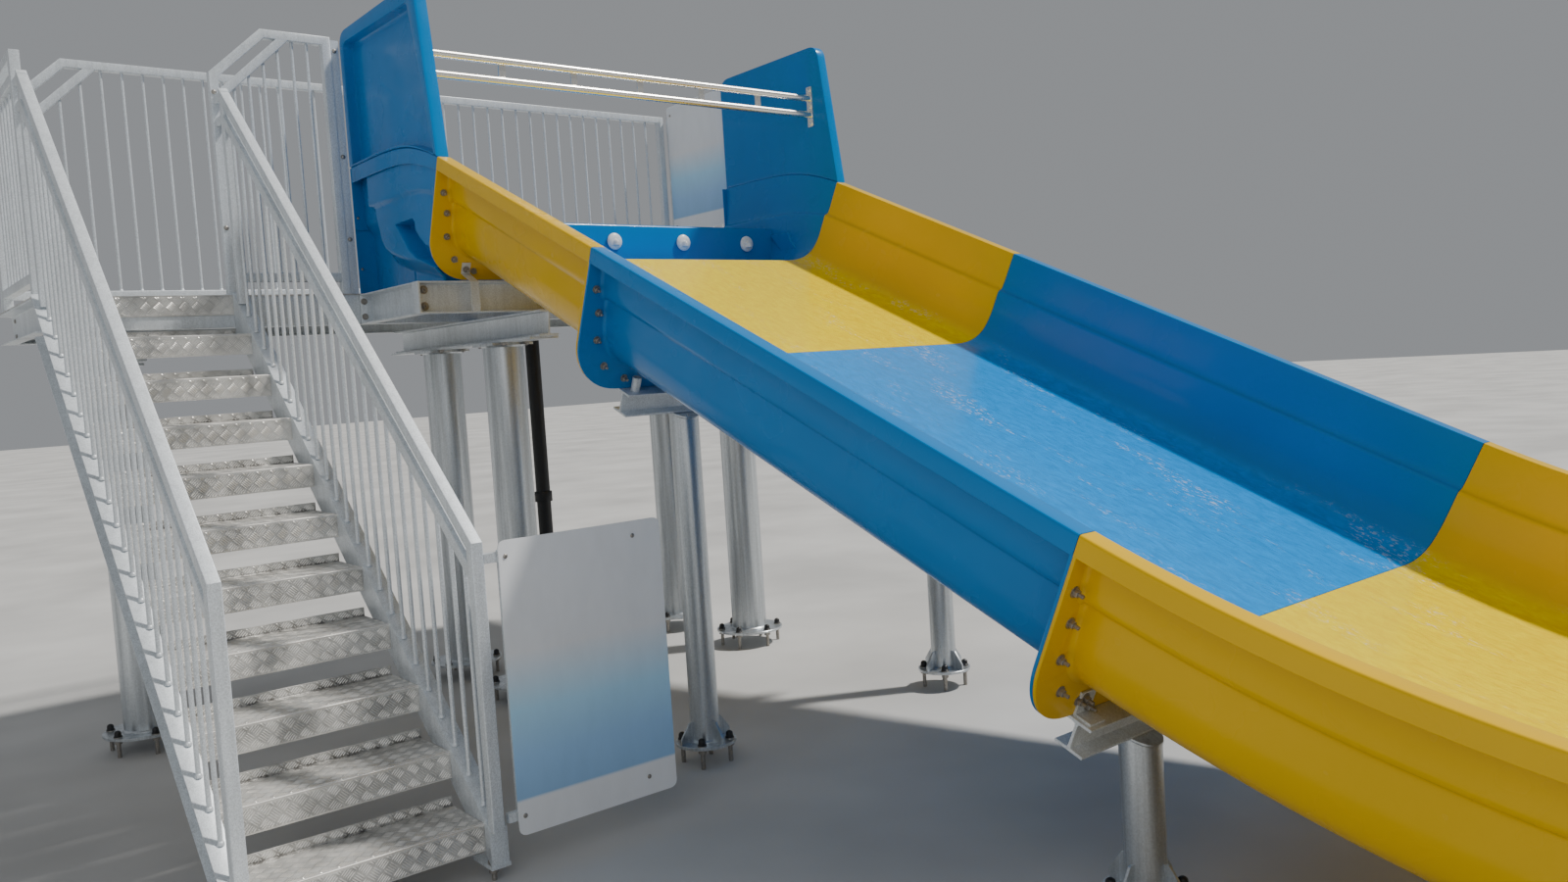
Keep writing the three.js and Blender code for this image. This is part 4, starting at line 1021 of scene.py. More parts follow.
class TOWER_OT_start_tub(Operator):
    """Builds the start tub: basin, arched rims, rear ledge, moulded cheeks and back plate"""

    bl_idname = "tower.start_tub"
    bl_label = "Start tub"

    def execute(self, context):
        slide, start, finishes = settings("slide", "start", "finishes")
        floor, rim = start_curves(slide, start)
        rise = rim - floor
        ring = trough(slide)
        across = np.broadcast_to(ring[:, 0], (len(floor), len(ring)))
        height = np.broadcast_to(ring[:, 1], across.shape)
        tall = np.where(height > 0, height / slide.rim, 0.0)
        y = floor[:, :1] + rise[:, :1] * tall
        z = floor[:, 1:] + rise[:, 1:] * tall + np.where(height < 0, height, 0.0)
        film_with_painted_light = floor_film_and_painted_light(slide, across, height) * (y < start.front)
        middle, face, top, back = slide.middle, start.front, start.ledge, start.back
        skin, ledge_half, cheek_in, plate_half, plate_top = 0.010, 1.100, 1.098, 1.188, 2.661
        ledge = eased([
            (face + 0.008, TUB_FOOT, 0.002), (face + 0.008, top - skin, 0.006),
            (back - skin, top - skin, 0.003), (back - skin, top, 0.003), (face - 0.010, top, 0.018),
            (face - 0.003, TUB_FOOT, 0.002),
        ], 5)
        behind, deck_top = back - 0.008, DECK[1][2] + 0.0005
        others = [
            flange_plate(slide, 0.0, -slide.flange, -JOINT_GAP),
            carry(ledge[::-1], [(middle - ledge_half, 0, 0), (middle + ledge_half, 0, 0)], Y_AXIS),
            block((middle - plate_half, behind, deck_top), (middle + plate_half, back, top - 0.002)),
        ]
        for sign in (-1, 1):
            others.append(cheek(slide, start, sign))
            inner, outer = middle + sign * cheek_in, middle + sign * plate_half
            others.append(block((inner, behind, top - 0.004), (outer, back, plate_top)))
        skin_part = shell(np.stack([middle + across, y, z], -1))
        look = (wet_gelcoat_with_painted_light("wet_blue_gelcoat_painted_light", finishes.blue), "blue_shell")
        build_wet_with_painted_light("tub_shell", skin_part, others, film_with_painted_light, np.stack([across, y], -1), look, "start_tub", 50)
        return {"FINISHED"}


def plate_yz(outline, x0, x1):
    """A flat plate: an anticlockwise y, z outline between two x."""
    grid = np.stack([np.column_stack([np.full(len(outline), x), outline]) for x in (x0, x1)])
    return shell(grid)


def plate_xz(outline, y0, y1):
    """A flat plate: an anticlockwise x, z outline between two y."""
    rows = [np.column_stack([outline[:, 0], np.full(len(outline), y), outline[:, 1]]) for y in (y1, y0)]
    return shell(np.stack(rows))


def wing_ring(line, corners):
    """A wing's outline in y, z: along a line from front to back, then round two eased top corners."""
    upper = eased(np.vstack([[(*line[-1], 0)], corners, [(*line[0], 0)]]), 10, closed=False)
    return np.vstack([line, upper[1:-1]])


class TOWER_OT_wings(Operator):
    """Builds the two wing panels, hollow on the outside behind a broad rim"""

    bl_idname = "tower.wings"
    bl_label = "Wings"

    def execute(self, context):
        slide, start, finishes = settings("slide", "start", "finishes")
        _, rim = start_curves(slide, start)
        back, top = start.back, start.wing
        line = rim[::-1] + (0, 0.0006)
        line[-1, 0] = back
        outer = wing_ring(line, [(back, top - 0.004, 0.085), (-0.692, top, 0.070)])
        share = (line[:, :1] - line[0, 0]) / (line[-1, 0] - line[0, 0])
        front, behind = -0.778, back - 0.045
        low = np.hstack([front + (behind - front) * share, line[:, 1:] + 0.010 + 0.004 * (1 - share)])
        hollow = wing_ring(low, [(behind, top - 0.062, 0.040), (-0.622, top - 0.075, 0.030)])
        # How far each ring is moved inwards and how far it stands out from the inner face.
        outer_steps = [
            (0.016, 0.0), (0.004, 0.0008), (0.001, 0.003), (0.0, 0.008), (0.0, 0.050), (0.001, 0.056),
            (0.003, 0.0594), (0.006, 0.060),
        ]
        hollow_steps = [
            (-0.003, 0.060), (-0.001, 0.0592), (0.0, 0.057), (0.001, 0.026), (0.004, 0.014), (0.012, 0.0092),
            (0.024, 0.008),
        ]
        rows = [(outer, *step) for step in outer_steps] + [(hollow, *step) for step in hollow_steps]
        parts = []
        for name, sign in SIDES:
            grid = []
            for ring, inward, out in rows:
                x = slide.middle + sign * (start.inner + out)
                grid.append(np.column_stack([np.full(len(ring), x), inset(ring, inward)]))
            grid = np.stack(grid)[:, ::sign]
            finish = gelcoat("blue_gelcoat", finishes.blue)
            build("wing_panel_" + name, [shell(grid)], finish, ["wing_" + name], sharp=40)
            up = np.linspace(0.0, 1.0, 6)
            x = np.full(6, slide.middle + sign * (start.inner + 0.0085))
            front_bolts = np.stack([x, -0.712 + 0.150 * up, 2.680 + 0.500 * up], 1)
            parts.append(studded(dome(0.006, 0.004), (sign, 0, 0), front_bolts))
            back_bolts = [(slide.middle + sign * 1.170, back - 0.008, z) for z in (2.17, 2.42)]
            parts.append(studded(dome(0.007, 0.004), -Y_AXIS, back_bolts))
        fasteners("wing_fixings", parts)
        return {"FINISHED"}


class TOWER_OT_nozzles(Operator):
    """Builds the five inlet nozzles on the ledge and the pipes behind it"""

    bl_idname = "tower.nozzles"
    bl_label = "Inlet nozzles"

    def nozzle(self):
        """A disc and a hood on it, facing +Z. The hood is half a tube whose size grows with the square
        root of 1 - 0.97 (1 - t)^2, a quarter of an ellipse, and its lining is a little smaller."""
        disc = turned([
            (0.0435, 0.0), (0.0445, 0.004), (0.042, 0.009), (0.032, 0.0135), (0.018, 0.0155), (0.005, 0.016),
        ], 32)
        t = np.linspace(0, 1, 8)[:, None]
        around = np.linspace(-np.pi / 2, np.pi / 2, 13)[None]
        swell = np.sqrt(1 - 0.97 * (1 - t) ** 2)
        across, out = 0.020 * swell * np.sin(around), 0.013 + 0.027 * swell * np.cos(around)
        hood = np.stack([across, 0.012 - 0.034 * t + 0 * around, out], -1)
        lining = hood * (0.86, 1.0, 1.0) - (0, 0.0005, 0.003)
        return disc, shell(np.concatenate([hood, lining[:, ::-1]], 1))

    def execute(self, context):
        slide, start, finishes = settings("slide", "start", "finishes")
        middle, pipe_y, pipe_radius, branch_radius, spare = start.nozzle, -0.19, 0.030, 0.014, 0.06
        face = start.front - 0.0135
        across = [slide.middle + k * start.nozzle_pitch for k in (-2, -1, 0, 1, 2)]
        places = [(x, face, middle) for x in across]
        parts = [repeated(placed(part, TO_FRONT), places) for part in self.nozzle()]
        ends = [(across[0] - spare, pipe_y, middle), (across[-1] + spare, pipe_y, middle)]
        parts.append(rod(*ends, pipe_radius, 24))
        parts += [rod((x, pipe_y, middle), (x, face + 0.004, middle), branch_radius) for x in across]
        white = plain("white_moulding", finishes.white, 0.0, 0.3)
        build("nozzle_set", parts, white, ["water_nozzles"], sharp=40)
        low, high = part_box("water_riser")
        x, y = (low[0] + high[0]) / 2 - ORIGIN[0], low[1] - ORIGIN[1] + 0.05
        radius, bend, top, collar, sleeve = 0.036, 0.055, 2.20, 0.045, 0.052
        collar_heights, foot, foot_top = (0.25, 0.94), 0.066, 0.016
        angle = np.linspace(0, np.pi / 2, 9)[1:]
        curve = [np.full(8, x), y - bend * (1 - np.cos(angle)), top + bend * np.sin(angle)]
        path = np.vstack([[(x, y, 0.0), (x, y, top - 0.01)], np.column_stack(curve)])
        pipe = [carry(circle(radius, 32), path, X_AXIS)]
        for z in collar_heights:
            profile = [(-0.001, 0.0), (0.0, 0.002), (0.0, sleeve - 0.002), (-0.001, sleeve)]
            pipe.append(moved(turned([(collar + out, z + up) for out, up in profile], 32), (x, y, 0)))
        base = turned([(foot, 0), (foot, foot_top - 0.002), (foot - 0.002, foot_top)], 32)
        pipe.append(moved(base, (x, y, 0)))
        black = plain("pipe_black", finishes.black, 0.0, 0.45)
        build("supply_pipe", pipe, black, ["water_riser"], sharp=40)
        return {"FINISHED"}


class TOWER_OT_grab_rail(Operator):
    """Builds the double grab rail between the wings"""

    bl_idname = "tower.grab_rail"
    bl_label = "Grab rail"

    def execute(self, context):
        slide, start = settings("slide", "start")
        y, upper, lower = start.rail_y, start.rail, start.rail - 0.090
        x0, x1 = slide.middle - start.inner + 0.0004, slide.middle + start.inner - 0.0004
        radius, thick, plate_half, stops = 0.019, 0.006, 0.022, 6
        parts = [rod((x0 + 0.004, y, z), (x1 - 0.004, y, z), radius, 32) for z in (upper, lower)]
        outline = window((y - plate_half, upper - 0.155), (y + plate_half, upper + 0.065), 0.006, 3)
        collar = turned([(0.0225, 0), (0.0205, 0.004), (radius, thick)], 32)
        for x, side in ((x0, 1), (x1, -1)):
            face = x + side * thick
            parts.append(plate_yz(outline, min(x, face), max(x, face)))
            parts.append(studded(collar, (side, 0, 0), [(face, y, z) for z in (upper, lower)]))
            heads = [(face, y, z) for z in (upper - 0.138, upper - 0.045, upper + 0.046)]
            parts.append(studded(bolt_head(), (side, 0, 0), heads))
        for k in range(1, stops):
            x = x0 + (x1 - x0) * k / stops
            parts.append(block((x - 0.018, y - 0.004, lower), (x + 0.018, y + 0.004, upper)))
        build("grab_rail_tubes", parts, polished(), ["grab_rail"], sharp=40)
        return {"FINISHED"}


# The stair.


def nosing(stair, y):
    """Height of the line of nosings at a distance y along the plan."""
    return stair.rise * stair.risers + np.asarray(y, float) * stair.rise / stair.going


def bars(width, depth):
    """Five-bar relief on a rectangle from zero to width, depth: a basket weave turned 45 degrees, in which
    each square holds five parallel bars, turned one way or the other by turns. A bar is a hipped ridge
    about the part of its line, centre + t x direction, that lies inside the rectangle."""
    size, thick, height, shortest = 0.036, 0.0045, 0.0015, 0.006
    step, reach = size / math.sqrt(2), size * 0.44
    columns, rows = np.arange(int(width / step) + 2), np.arange(int(depth / step / 2) + 2)
    i, j = np.meshgrid(columns, rows, indexing="ij")
    middle = np.stack([i * step, (2 * j - 0.5 + i % 2) * step], -1).reshape(-1, 1, 2)
    side = np.where(i % 2, 1.0, -1.0).reshape(-1, 1)
    way = np.stack([0 * side + 1, side], -1) / math.sqrt(2)
    across = np.stack([-way[..., 1], way[..., 0]], -1)
    centre = middle + across * (np.arange(-2, 3) * size / 5)[None, :, None]
    edge = 0.6 * thick
    first = (edge - centre) / way
    second = (np.array([width, depth]) - edge - centre) / way
    low = np.maximum(np.minimum(first, second).max(-1), -reach)
    high = np.minimum(np.maximum(first, second).min(-1), reach)
    kept = high - low > shortest
    half, centre = (high - low)[kept] / 2, (centre + way * ((high + low) / 2)[..., None])[kept]
    way, across = (np.broadcast_to(row, first.shape)[kept] for row in (way, across))
    # One bar: six points round its foot, then the two ends of its ridge.
    long = np.array([-1, -0.7, 0.7, 1, 0.7, -0.7, -0.6, 0.6])
    wide = np.array([0, -1, -1, 0, 1, 1, 0, 0]) * thick / 2
    up = np.array([0, 0, 0, 0, 0, 0, 1, 1]) * height
    faces = np.array([(0, 1, 6), (1, 2, 7), (1, 7, 6), (2, 3, 7), (3, 4, 7), (4, 5, 6), (4, 6, 7), (5, 0, 6)])
    flat = centre[:, None] + (long * half[:, None])[..., None] * way[:, None]
    flat = flat + wide[None, :, None] * across[:, None]
    return alike(np.concatenate([flat, np.broadcast_to(up, flat.shape[:2])[..., None]], -1), [faces])


class TOWER_OT_treads(Operator):
    """Builds the folded chequer treads and the deck plate with their raised bars"""

    bl_idname = "tower.treads"
    bl_label = "Treads and deck"

    def execute(self, context):
        stair, platform = settings("stair", "platform")
        finish, slot = chequer(), "chequer_plate"
        t, d, lip, fold = stair.plate, stair.tread, stair.lip, stair.fold
        wide = stair.width - 2 * CLEAR
        ends = [(-wide - CLEAR, 0, 0), (-CLEAR, 0, 0)]
        # The bars keep a margin, and their feet stand a hair inside the plate.
        inlay, left, sunk = wide - 0.004, -wide + 0.002, 0.00005
        for k in range(1, stair.risers):
            y, z = -k * stair.going, nosing(stair, -k * stair.going)
            corners = [
                (y, z - fold, 0.001), (y + t, z - fold, 0.001), (y + t, z - t, 0.003), (y + d, z - t, 0.006),
                (y + d, z + lip, 0.001), (y + d - t, z + lip, 0.001), (y + d - t, z, 0.003),
                (y + d - 0.034, z, 0.008), (y + 0.030, z, 0.008), (y, z, 0.006), (y, z - 0.020, 0.006),
                (y, z - fold + 0.014, 0.006),
            ]
            plate = carry(eased(corners, 4), ends, Y_AXIS)
            across, up = plate[0][:, 1] - y, plate[0][:, 2] - z
            # Painted highlight and wear: points within 7.5 mm of the nosing and of the front fold's lower
            # edge get bright metal.
            edge_wear_and_highlight = np.minimum(np.hypot(across, up), np.hypot(across, up + fold)) < 0.0075
            near_back = np.hypot(across - d + t, up) < 0.012
            top = moved(bars(inlay, d - t - 0.010), (left, y + 0.006, z - sunk))
            front = placed(bars(inlay, fold - 0.008), TO_FRONT, (left, y + sunk, z - fold + 0.002))
            back = placed(bars(inlay, lip - 0.002), TO_FRONT, (left, y + d - t + sunk, z + 0.001))
            upright_bars = len(front[0]) + len(back[0])
            wear_and_highlight = [0.95 * edge_wear_and_highlight, 0.40 + 0.40 * smooth_step(0.10, 0.0, top[0][:, 1] - y)]
            wear_and_highlight = np.concatenate(wear_and_highlight + [np.full(upright_bars, 0.62)])
            dirt = np.concatenate([near_back, np.zeros(len(wear_and_highlight) - len(near_back))])
            layers, number = {"wear_and_highlight": wear_and_highlight, "dirt": dirt}, "%02d" % (k + 1)
            parts = [plate, top, front, back]
            build("tread_plate_" + number, parts, finish, ["stair_tread_" + number], layers=layers)
        z = stair.rise * stair.risers
        folded = window((0.0, z - fold), (t, z - t), 0.001, 3)
        deck_bars = bars(platform.right - DECK_LEFT - 0.01, platform.depth - 0.01)
        parts = [
            block((DECK_LEFT, 0, z - t), (platform.right, platform.depth, z), 0.002),
            carry(folded, ends, Y_AXIS),
            moved(deck_bars, (DECK_LEFT + 0.005, 0.005, z - sunk)),
            placed(bars(inlay, fold - 0.006), TO_FRONT, (left, sunk, z - fold + 0.002)),
        ]
        wear_and_highlight = [np.full(len(part[0]), brightened) for part, brightened in zip(parts, (0.0, 0.0, 0.6, 0.6))]
        build("deck_plate", parts, finish, ["platform_deck"], layers={"wear_and_highlight": np.concatenate(wear_and_highlight)})
        return {"FINISHED"}


def tube_section(size):
    """A square hollow section's outside, with rounded corners."""
    return slender(size, size, size * 0.09, 3)


def upright(x, y, low, high, radius):
    """Upright bars with a small weld at the foot: arrays of places and their lower and upper ends."""
    sides = 12
    ring = circle(1.0, sides)
    radii = radius * np.array([1.55, 1.45, 1.0, 1.0])
    heights = np.stack([low - 0.004, low + 0.004, low + 0.008, high], 1)
    grid = np.empty((len(x), 4, sides, 3))
    grid[..., 0] = x[:, None, None] + radii[:, None] * ring[:, 0]
    grid[..., 1] = y[:, None, None] + radii[:, None] * ring[:, 1]
    grid[..., 2] = heights[:, :, None]
    return alike(grid, shell(grid[0])[1])


def anchor(radius, under, top):
    """A threaded stud from the ground through a plate, with a nut under and over it, along +Z."""
    stud = turned([(radius, 0.0), (radius, top + 0.030), (radius * 0.8, top + 0.033)], 12)
    wide = radius * 1.7
    lower = turned([(wide, under - 0.015), (wide, under)], 12, 6)
    upper = turned([(wide, top), (wide, top + 0.013), (radius * 1.5, top + 0.015)], 12, 6)
    rings = np.arange(5, dtype=float) * 0.006 + 0.008
    thread = [turned([(radius, z), (radius * 1.12, z + 0.0015), (radius, z + 0.003)], 12) for z in rings]
    return joined([stud, lower, upper] + thread)


class TOWER_OT_stair(Operator):
    """Builds the stringers, their feet and the two stair railings"""

    bl_idname = "tower.stair"
    bl_label = "Stringers and railings"

    # How far the stringers' top stands above the line of nosings.
    above = 0.012

    def stringer(self, name, x, sign):
        """A channel down the line of nosings with an end plate, a foot plate and two studs."""
        stair, platform = settings("stair", "platform")
        height, front, floor = platform.beam, -stair.foot, 0.046
        foot_low, foot_top = 0.040, 0.052
        drop = self.above - height / 2 / math.cos(math.atan2(stair.rise, stair.going))
        path = [(x, y, nosing(stair, y) + drop) for y in (-0.0005, front)]
        section = channel(height, platform.flange, 0.007, 0.011, sign)
        beam = carry(section, path, X_AXIS, start=-Y_AXIS, end=-Y_AXIS)
        beam[0][:, 2] = np.maximum(beam[0][:, 2], floor)
        low, high = sorted((x, x + sign * platform.flange))
        end_top = float(nosing(stair, front)) + self.above - 0.006
        end_low, end_high = (low + 0.0005, front - 0.0012, floor), (high - 0.0005, front + 0.007, end_top)
        foot = block((low - 0.004, front - 0.004, foot_low), (high + 0.004, front + 0.130, foot_top), 0.003)
        steelwork("stringer_" + name, [beam, block(end_low, end_high, 0.001), foot], "stair_stringer_" + name)
        spots = [((low + high) / 2 + dx, front + dy, 0) for dx, dy in ((-0.016, 0.022), (0.016, 0.104))]
        stud = anchor(0.008, foot_low, foot_top)
        fasteners("stringer_studs_" + name, [moved(stud, spot) for spot in spots])

    def railing(self, name, x, sign):
        """A handrail that bends down to a post, a second rail, bars and two short links to the corner
        post. It stands on the stringer's flange; tubes that overlap differ a little in size."""
        stair, platform = settings("stair", "platform")
        tube, second, across = platform.tube, stair.second, x + sign * 0.022
        centre = tube / math.cos(math.atan2(stair.rise, stair.going)) / 2
        front, end, deck = -stair.foot - 0.025, -0.050, 0.0195
        post, head = front + tube / 2, end - tube / 2

        def rail_point(y, gap):
            return across, y, nosing(stair, y) + stair.rail - gap - centre

        post_foot = (across, post, nosing(stair, post) + self.above + 0.0005)
        top_path = [rail_point(end, 0), rail_point(post, 0), post_foot]
        low_path = [rail_point(end + 0.0005, second), rail_point(post + 0.012, second)]
        head_path = [(across, head, nosing(stair, head) + self.above), rail_point(head, 0)]
        first = front + tube + 0.060
        count = int((end - tube - 0.030 - first) / stair.pitch) + 1
        y = first + np.arange(count) * stair.pitch
        foot, top = nosing(stair, y) + self.above + 0.0012, rail_point(y, second)[2] - centre * 0.5
        rails = [
            carry(tube_section(tube), top_path, X_AXIS, start=-Y_AXIS),
            carry(tube_section(tube - 0.0010), low_path, X_AXIS, start=-Y_AXIS, end=-Y_AXIS),
            carry(tube_section(tube - 0.0018), head_path, X_AXIS),
            upright(np.full(count, across), y, foot, top, stair.bar / 2),
        ]
        for gap in (0.0, 0.100):
            z = float(rail_point(end - 0.015, gap)[2]) + 0.002
            link = [(across, end - 0.025, z), (across, deck, z)]
            rails.append(carry(tube_section(tube - 0.0026), link, X_AXIS))
        steelwork("railing_" + name, rails, "stair_railing_" + name)

    def execute(self, context):
        for name, x, sign in (("right", 0.0, 1), ("left", -context.scene.tower_stair.width, -1)):
            self.stringer(name, x, sign)
            self.railing(name, x, sign)
        return {"FINISHED"}


# The platform.


def fence(lines, size, z0):
    """A fence panel in its own u, z plane at v = 0, from a panel's lines: an outer frame with mitred
    corners, further rails, a bottom rail and upright bars, on two small foot plates."""
    path, rails, bars_u, bar_tops = lines
    bottom_middle, bottom_top, foot_u, foot_v = 0.080, 0.100, 0.030, 0.024

    def raised(rows):
        rows = np.asarray(rows, float)
        return np.column_stack([rows[:, 0], np.zeros(len(rows)), rows[:, 1] + z0])

    ends = [path[0][0], path[-1][0]]
    bottom = [(ends[0] + size / 2, bottom_middle), (ends[1] - size / 2, bottom_middle)]
    parts = [carry(tube_section(size), raised(path), Y_AXIS)]
    for rail in rails:
        end = Z_AXIS if rail[-1][1] > rail[0][1] else None
        parts.append(carry(tube_section(size - 0.0010), raised(rail), Y_AXIS, end=end))
    parts.append(carry(tube_section(size), raised(bottom), Y_AXIS))
    foot = np.full(len(bars_u), z0 + bottom_top + 0.001)
    parts.append(upright(bars_u, np.zeros(len(bars_u)), foot, bar_tops + z0, 0.007))
    for u in ends:
        low, high = (u - foot_u, -foot_v, z0 + 0.0004), (u + foot_u, foot_v, z0 + 0.006)
        parts.append(block(low, high, 0.004))
    return joined(parts)


def bar_places(long, size, pitch):
    """Evenly spread bars between the posts of a panel."""
    count = max(1, round((long - 2 * size) / pitch) - 1)
    return size + (long - 2 * size) * np.arange(1, count + 1) / (count + 1)


def level_panel(long, height, size, gap=None):
    """Lines of a level fence panel: its frame, its further rails, its bars' places and tops. A second
    rail lies a gap below the first where a gap is given."""
    half, u = size / 2, bar_places(long, size, 0.092)
    path = [(half, 0), (half, height - half), (long - half, height - half), (long - half, 0)]
    rails = [[(half, height - gap - half), (long - half, height - gap - half)]] if gap else []
    return path, rails, u, np.full(len(u), height - (gap or 0) - half)


def climbing_panel(long, height, size, low, flat, gap, pitch):
    """Lines of a panel whose rail starts low, runs flat and climbs at about 45 degrees to the full
    height, with a second rail beside the climb."""
    half, slant = size / 2, 215 / 205
    u = bar_places(long, size, pitch)
    head = flat + (height - low) * slant + 0.008
    inner = head + 0.130
    inner_foot = inner - (height - low + gap) * slant
    start = max(inner_foot, 0.0)
    start_up = low - gap + (start - inner_foot) / slant
    bend = [(half, low - half + (half - flat - 0.008) / slant)]
    first = [(half * 0.6, start_up - half + 0.006)]
    if flat > 0.05:
        bend = [(half, low - half), (flat + 0.008, low - half)]
    if start > 0.05:
        first = [(half, start_up - half), (start + 0.010, start_up - half)]
    end = [(head + 0.008, height - half), (long - half, height - half), (long - half, 0)]
    top = height - size + 0.006
    rail = first + [(first[-1][0] + (top - first[-1][1]) * slant, top)]
    climb = np.maximum(low - gap + (u - inner_foot) / slant, start_up) - half
    tops = np.minimum(np.where(u > inner, height - half, climb), height - half)
    return [(half, 0)] + bend + end, [rail], u, tops


def beam_pair(platform):
    """A beam's section, open to +x and open to -x."""
    return [channel(platform.beam, platform.flange, 0.007, 0.010, sign) for sign in (1, -1)]


class TOWER_OT_platform(Operator):
    """Builds the fences round the deck and the channel beams under it"""

    bl_idname = "tower.platform"
    bl_label = "Fences and beams"

    def execute(self, context):
        stair, platform = settings("stair", "platform")
        size, z0 = platform.tube, stair.rise * stair.risers + CLEAR
        high, low = platform.high, platform.low
        along_x, along_y = np.eye(3), np.column_stack([Y_AXIS, -X_AXIS, Z_AXIS])
        back_lines = climbing_panel(3.785, high, size, low, 0.110, 0.124, 0.092)
        front_lines = climbing_panel(0.551, high, size, low, 0.012, 0.124, 0.067)
        fences = [
            ("left", level_panel(0.878, low, size, 0.093), along_y, (-0.745, 0.020, 0)),
            ("back", back_lines, along_x, (-0.765, 0.920, 0)),
            ("front", front_lines, along_x, (-0.010, 0.040, 0)),
            ("right", level_panel(0.838, high, size), along_y, (3.062, 0.060, 0)),
        ]
        for name, lines, direction, place in fences:
            parts = [placed(fence(lines, size, z0), direction, place)]
            if name == "front":
                parts.append(block((0.535, 0.032, z0), (0.583, 0.038, z0 + high - 0.010), 0.001))
            steelwork("fence_panel_" + name, parts, "fence_" + name)
        middle = z0 - CLEAR - stair.plate - CLEAR - platform.beam / 2
        left, right = DECK_LEFT + platform.flange, platform.right - platform.flange
        front, back = 0.006, platform.depth
        to_right, to_left = beam_pair(platform)
        beams = [
            ("front", to_right, [(left + CLEAR, front), (right - CLEAR, front)], Y_AXIS),
            ("back", to_left, [(left + CLEAR, back), (right - CLEAR, back)], Y_AXIS),
            ("left", to_left, [(left, back), (left, front)], X_AXIS),
            ("right", to_right, [(right, back), (right, front)], X_AXIS),
        ]
        for name, section, ends, side in beams:
            path = [(x, y, middle) for x, y in ends]
            steelwork("deck_beam_" + name, [carry(section, path, side)], "platform_beam_" + name)
        beam_bolts = [(left - 0.0005, y, middle + dz) for y in (0.10, 0.88) for dz in (-0.035, 0.035)]
        joint_bolts = [(0.005, 0.0195, z0 + z) for z in (0.90, 0.30)]
        clip_bolts = [(0.562, 0.0318, z0 + z) for z in (0.26, 0.65, 1.145)]
        fasteners("platform_bolts", [
            studded(bolt_head(), -X_AXIS, beam_bolts),
            studded(dome(), -Y_AXIS, joint_bolts),
            studded(dome(), -Y_AXIS, clip_bolts),
        ])
        return {"FINISHED"}


# What carries it all.


class TOWER_OT_tub_frame(Operator):
    """Builds the tub's frame, its cleats and the straps to the first flange"""

    bl_idname = "tower.tub_frame"
    bl_label = "Tub frame"

    def execute(self, context):
        stair, platform, slide, support = settings("stair", "platform", "slide", "supports")
        flange, height, front = platform.flange, platform.beam, support.frame_front
        top = stair.rise * stair.risers - stair.plate - CLEAR
        middle, bottom, inner = top - height / 2, top - height, front + flange
        left, right = support.frame_left, 2 * slide.middle - support.frame_left
        to_right, to_left = beam_pair(platform)
        bolts = []
        for name, x, sign in (("left", left, 1), ("right", right, -1)):
            web = x + sign * flange
            section = to_left if sign > 0 else to_right
            a, b = sorted((x, web))
            parts = [
                carry(section, [(web, -CLEAR, middle), (web, inner + CLEAR, middle)], X_AXIS),
                block((a, inner + CLEAR, bottom), (b, inner + 0.008, top), 0.001),
                block((a, -0.008, bottom), (b, -CLEAR, top), 0.001),
            ]
            steelwork("frame_side_" + name, parts, "tub_frame_" + name)
            heads = [(x + sign * 0.018, -0.0083, middle + dz) for dz in (-0.036, 0.036)]
            nuts = [(x + sign * 0.046, inner - 0.0075, middle + dz) for dz in (-0.036, 0.036)]
            bolts.append(studded(bolt_head(), -Y_AXIS, heads))
            bolts.append(studded(bolt_nut(0.026, 0.019), -Y_AXIS, nuts))
        parts = [carry(to_left, [(left, inner, middle), (right, inner, middle)], Y_AXIS)]
        for a, b in ((left - 0.0012, left + 0.008), (right - 0.008, right + 0.0012)):
            parts.append(block((a, front - 0.001, bottom - 0.0004), (b, inner - 0.0001, top + 0.0004), 0.001))
        joint = slide_line(slide, 0.0)
        face, thick = 0.0104, 0.006
        strap = rounded([
            (front - 0.005, bottom + 0.004), (front + 0.001, bottom + 0.004), (front + 0.001, top - 0.002),
            beside_joint(joint, -0.072, face), beside_joint(joint, -0.020, face),
            beside_joint(joint, -0.020, face + thick), beside_joint(joint, -0.069, face + thick),
            (front - 0.005, top - 0.004),
        ], 0.0012, 2)
        for from_middle in (0.832 - slide.middle, -0.330, 0.330, slide.middle - 0.832):
            x = slide.middle + from_middle
            parts.append(plate_yz(strap, x - 0.020, x + 0.020))
            spot = (x, *beside_joint(joint, -0.050, face + thick))
            bolts.append(placed(bolt_nut(), downhill(joint[2]), spot))
        steelwork("frame_front", parts, "tub_frame_front")
        fasteners("frame_bolts", bolts)
        return {"FINISHED"}


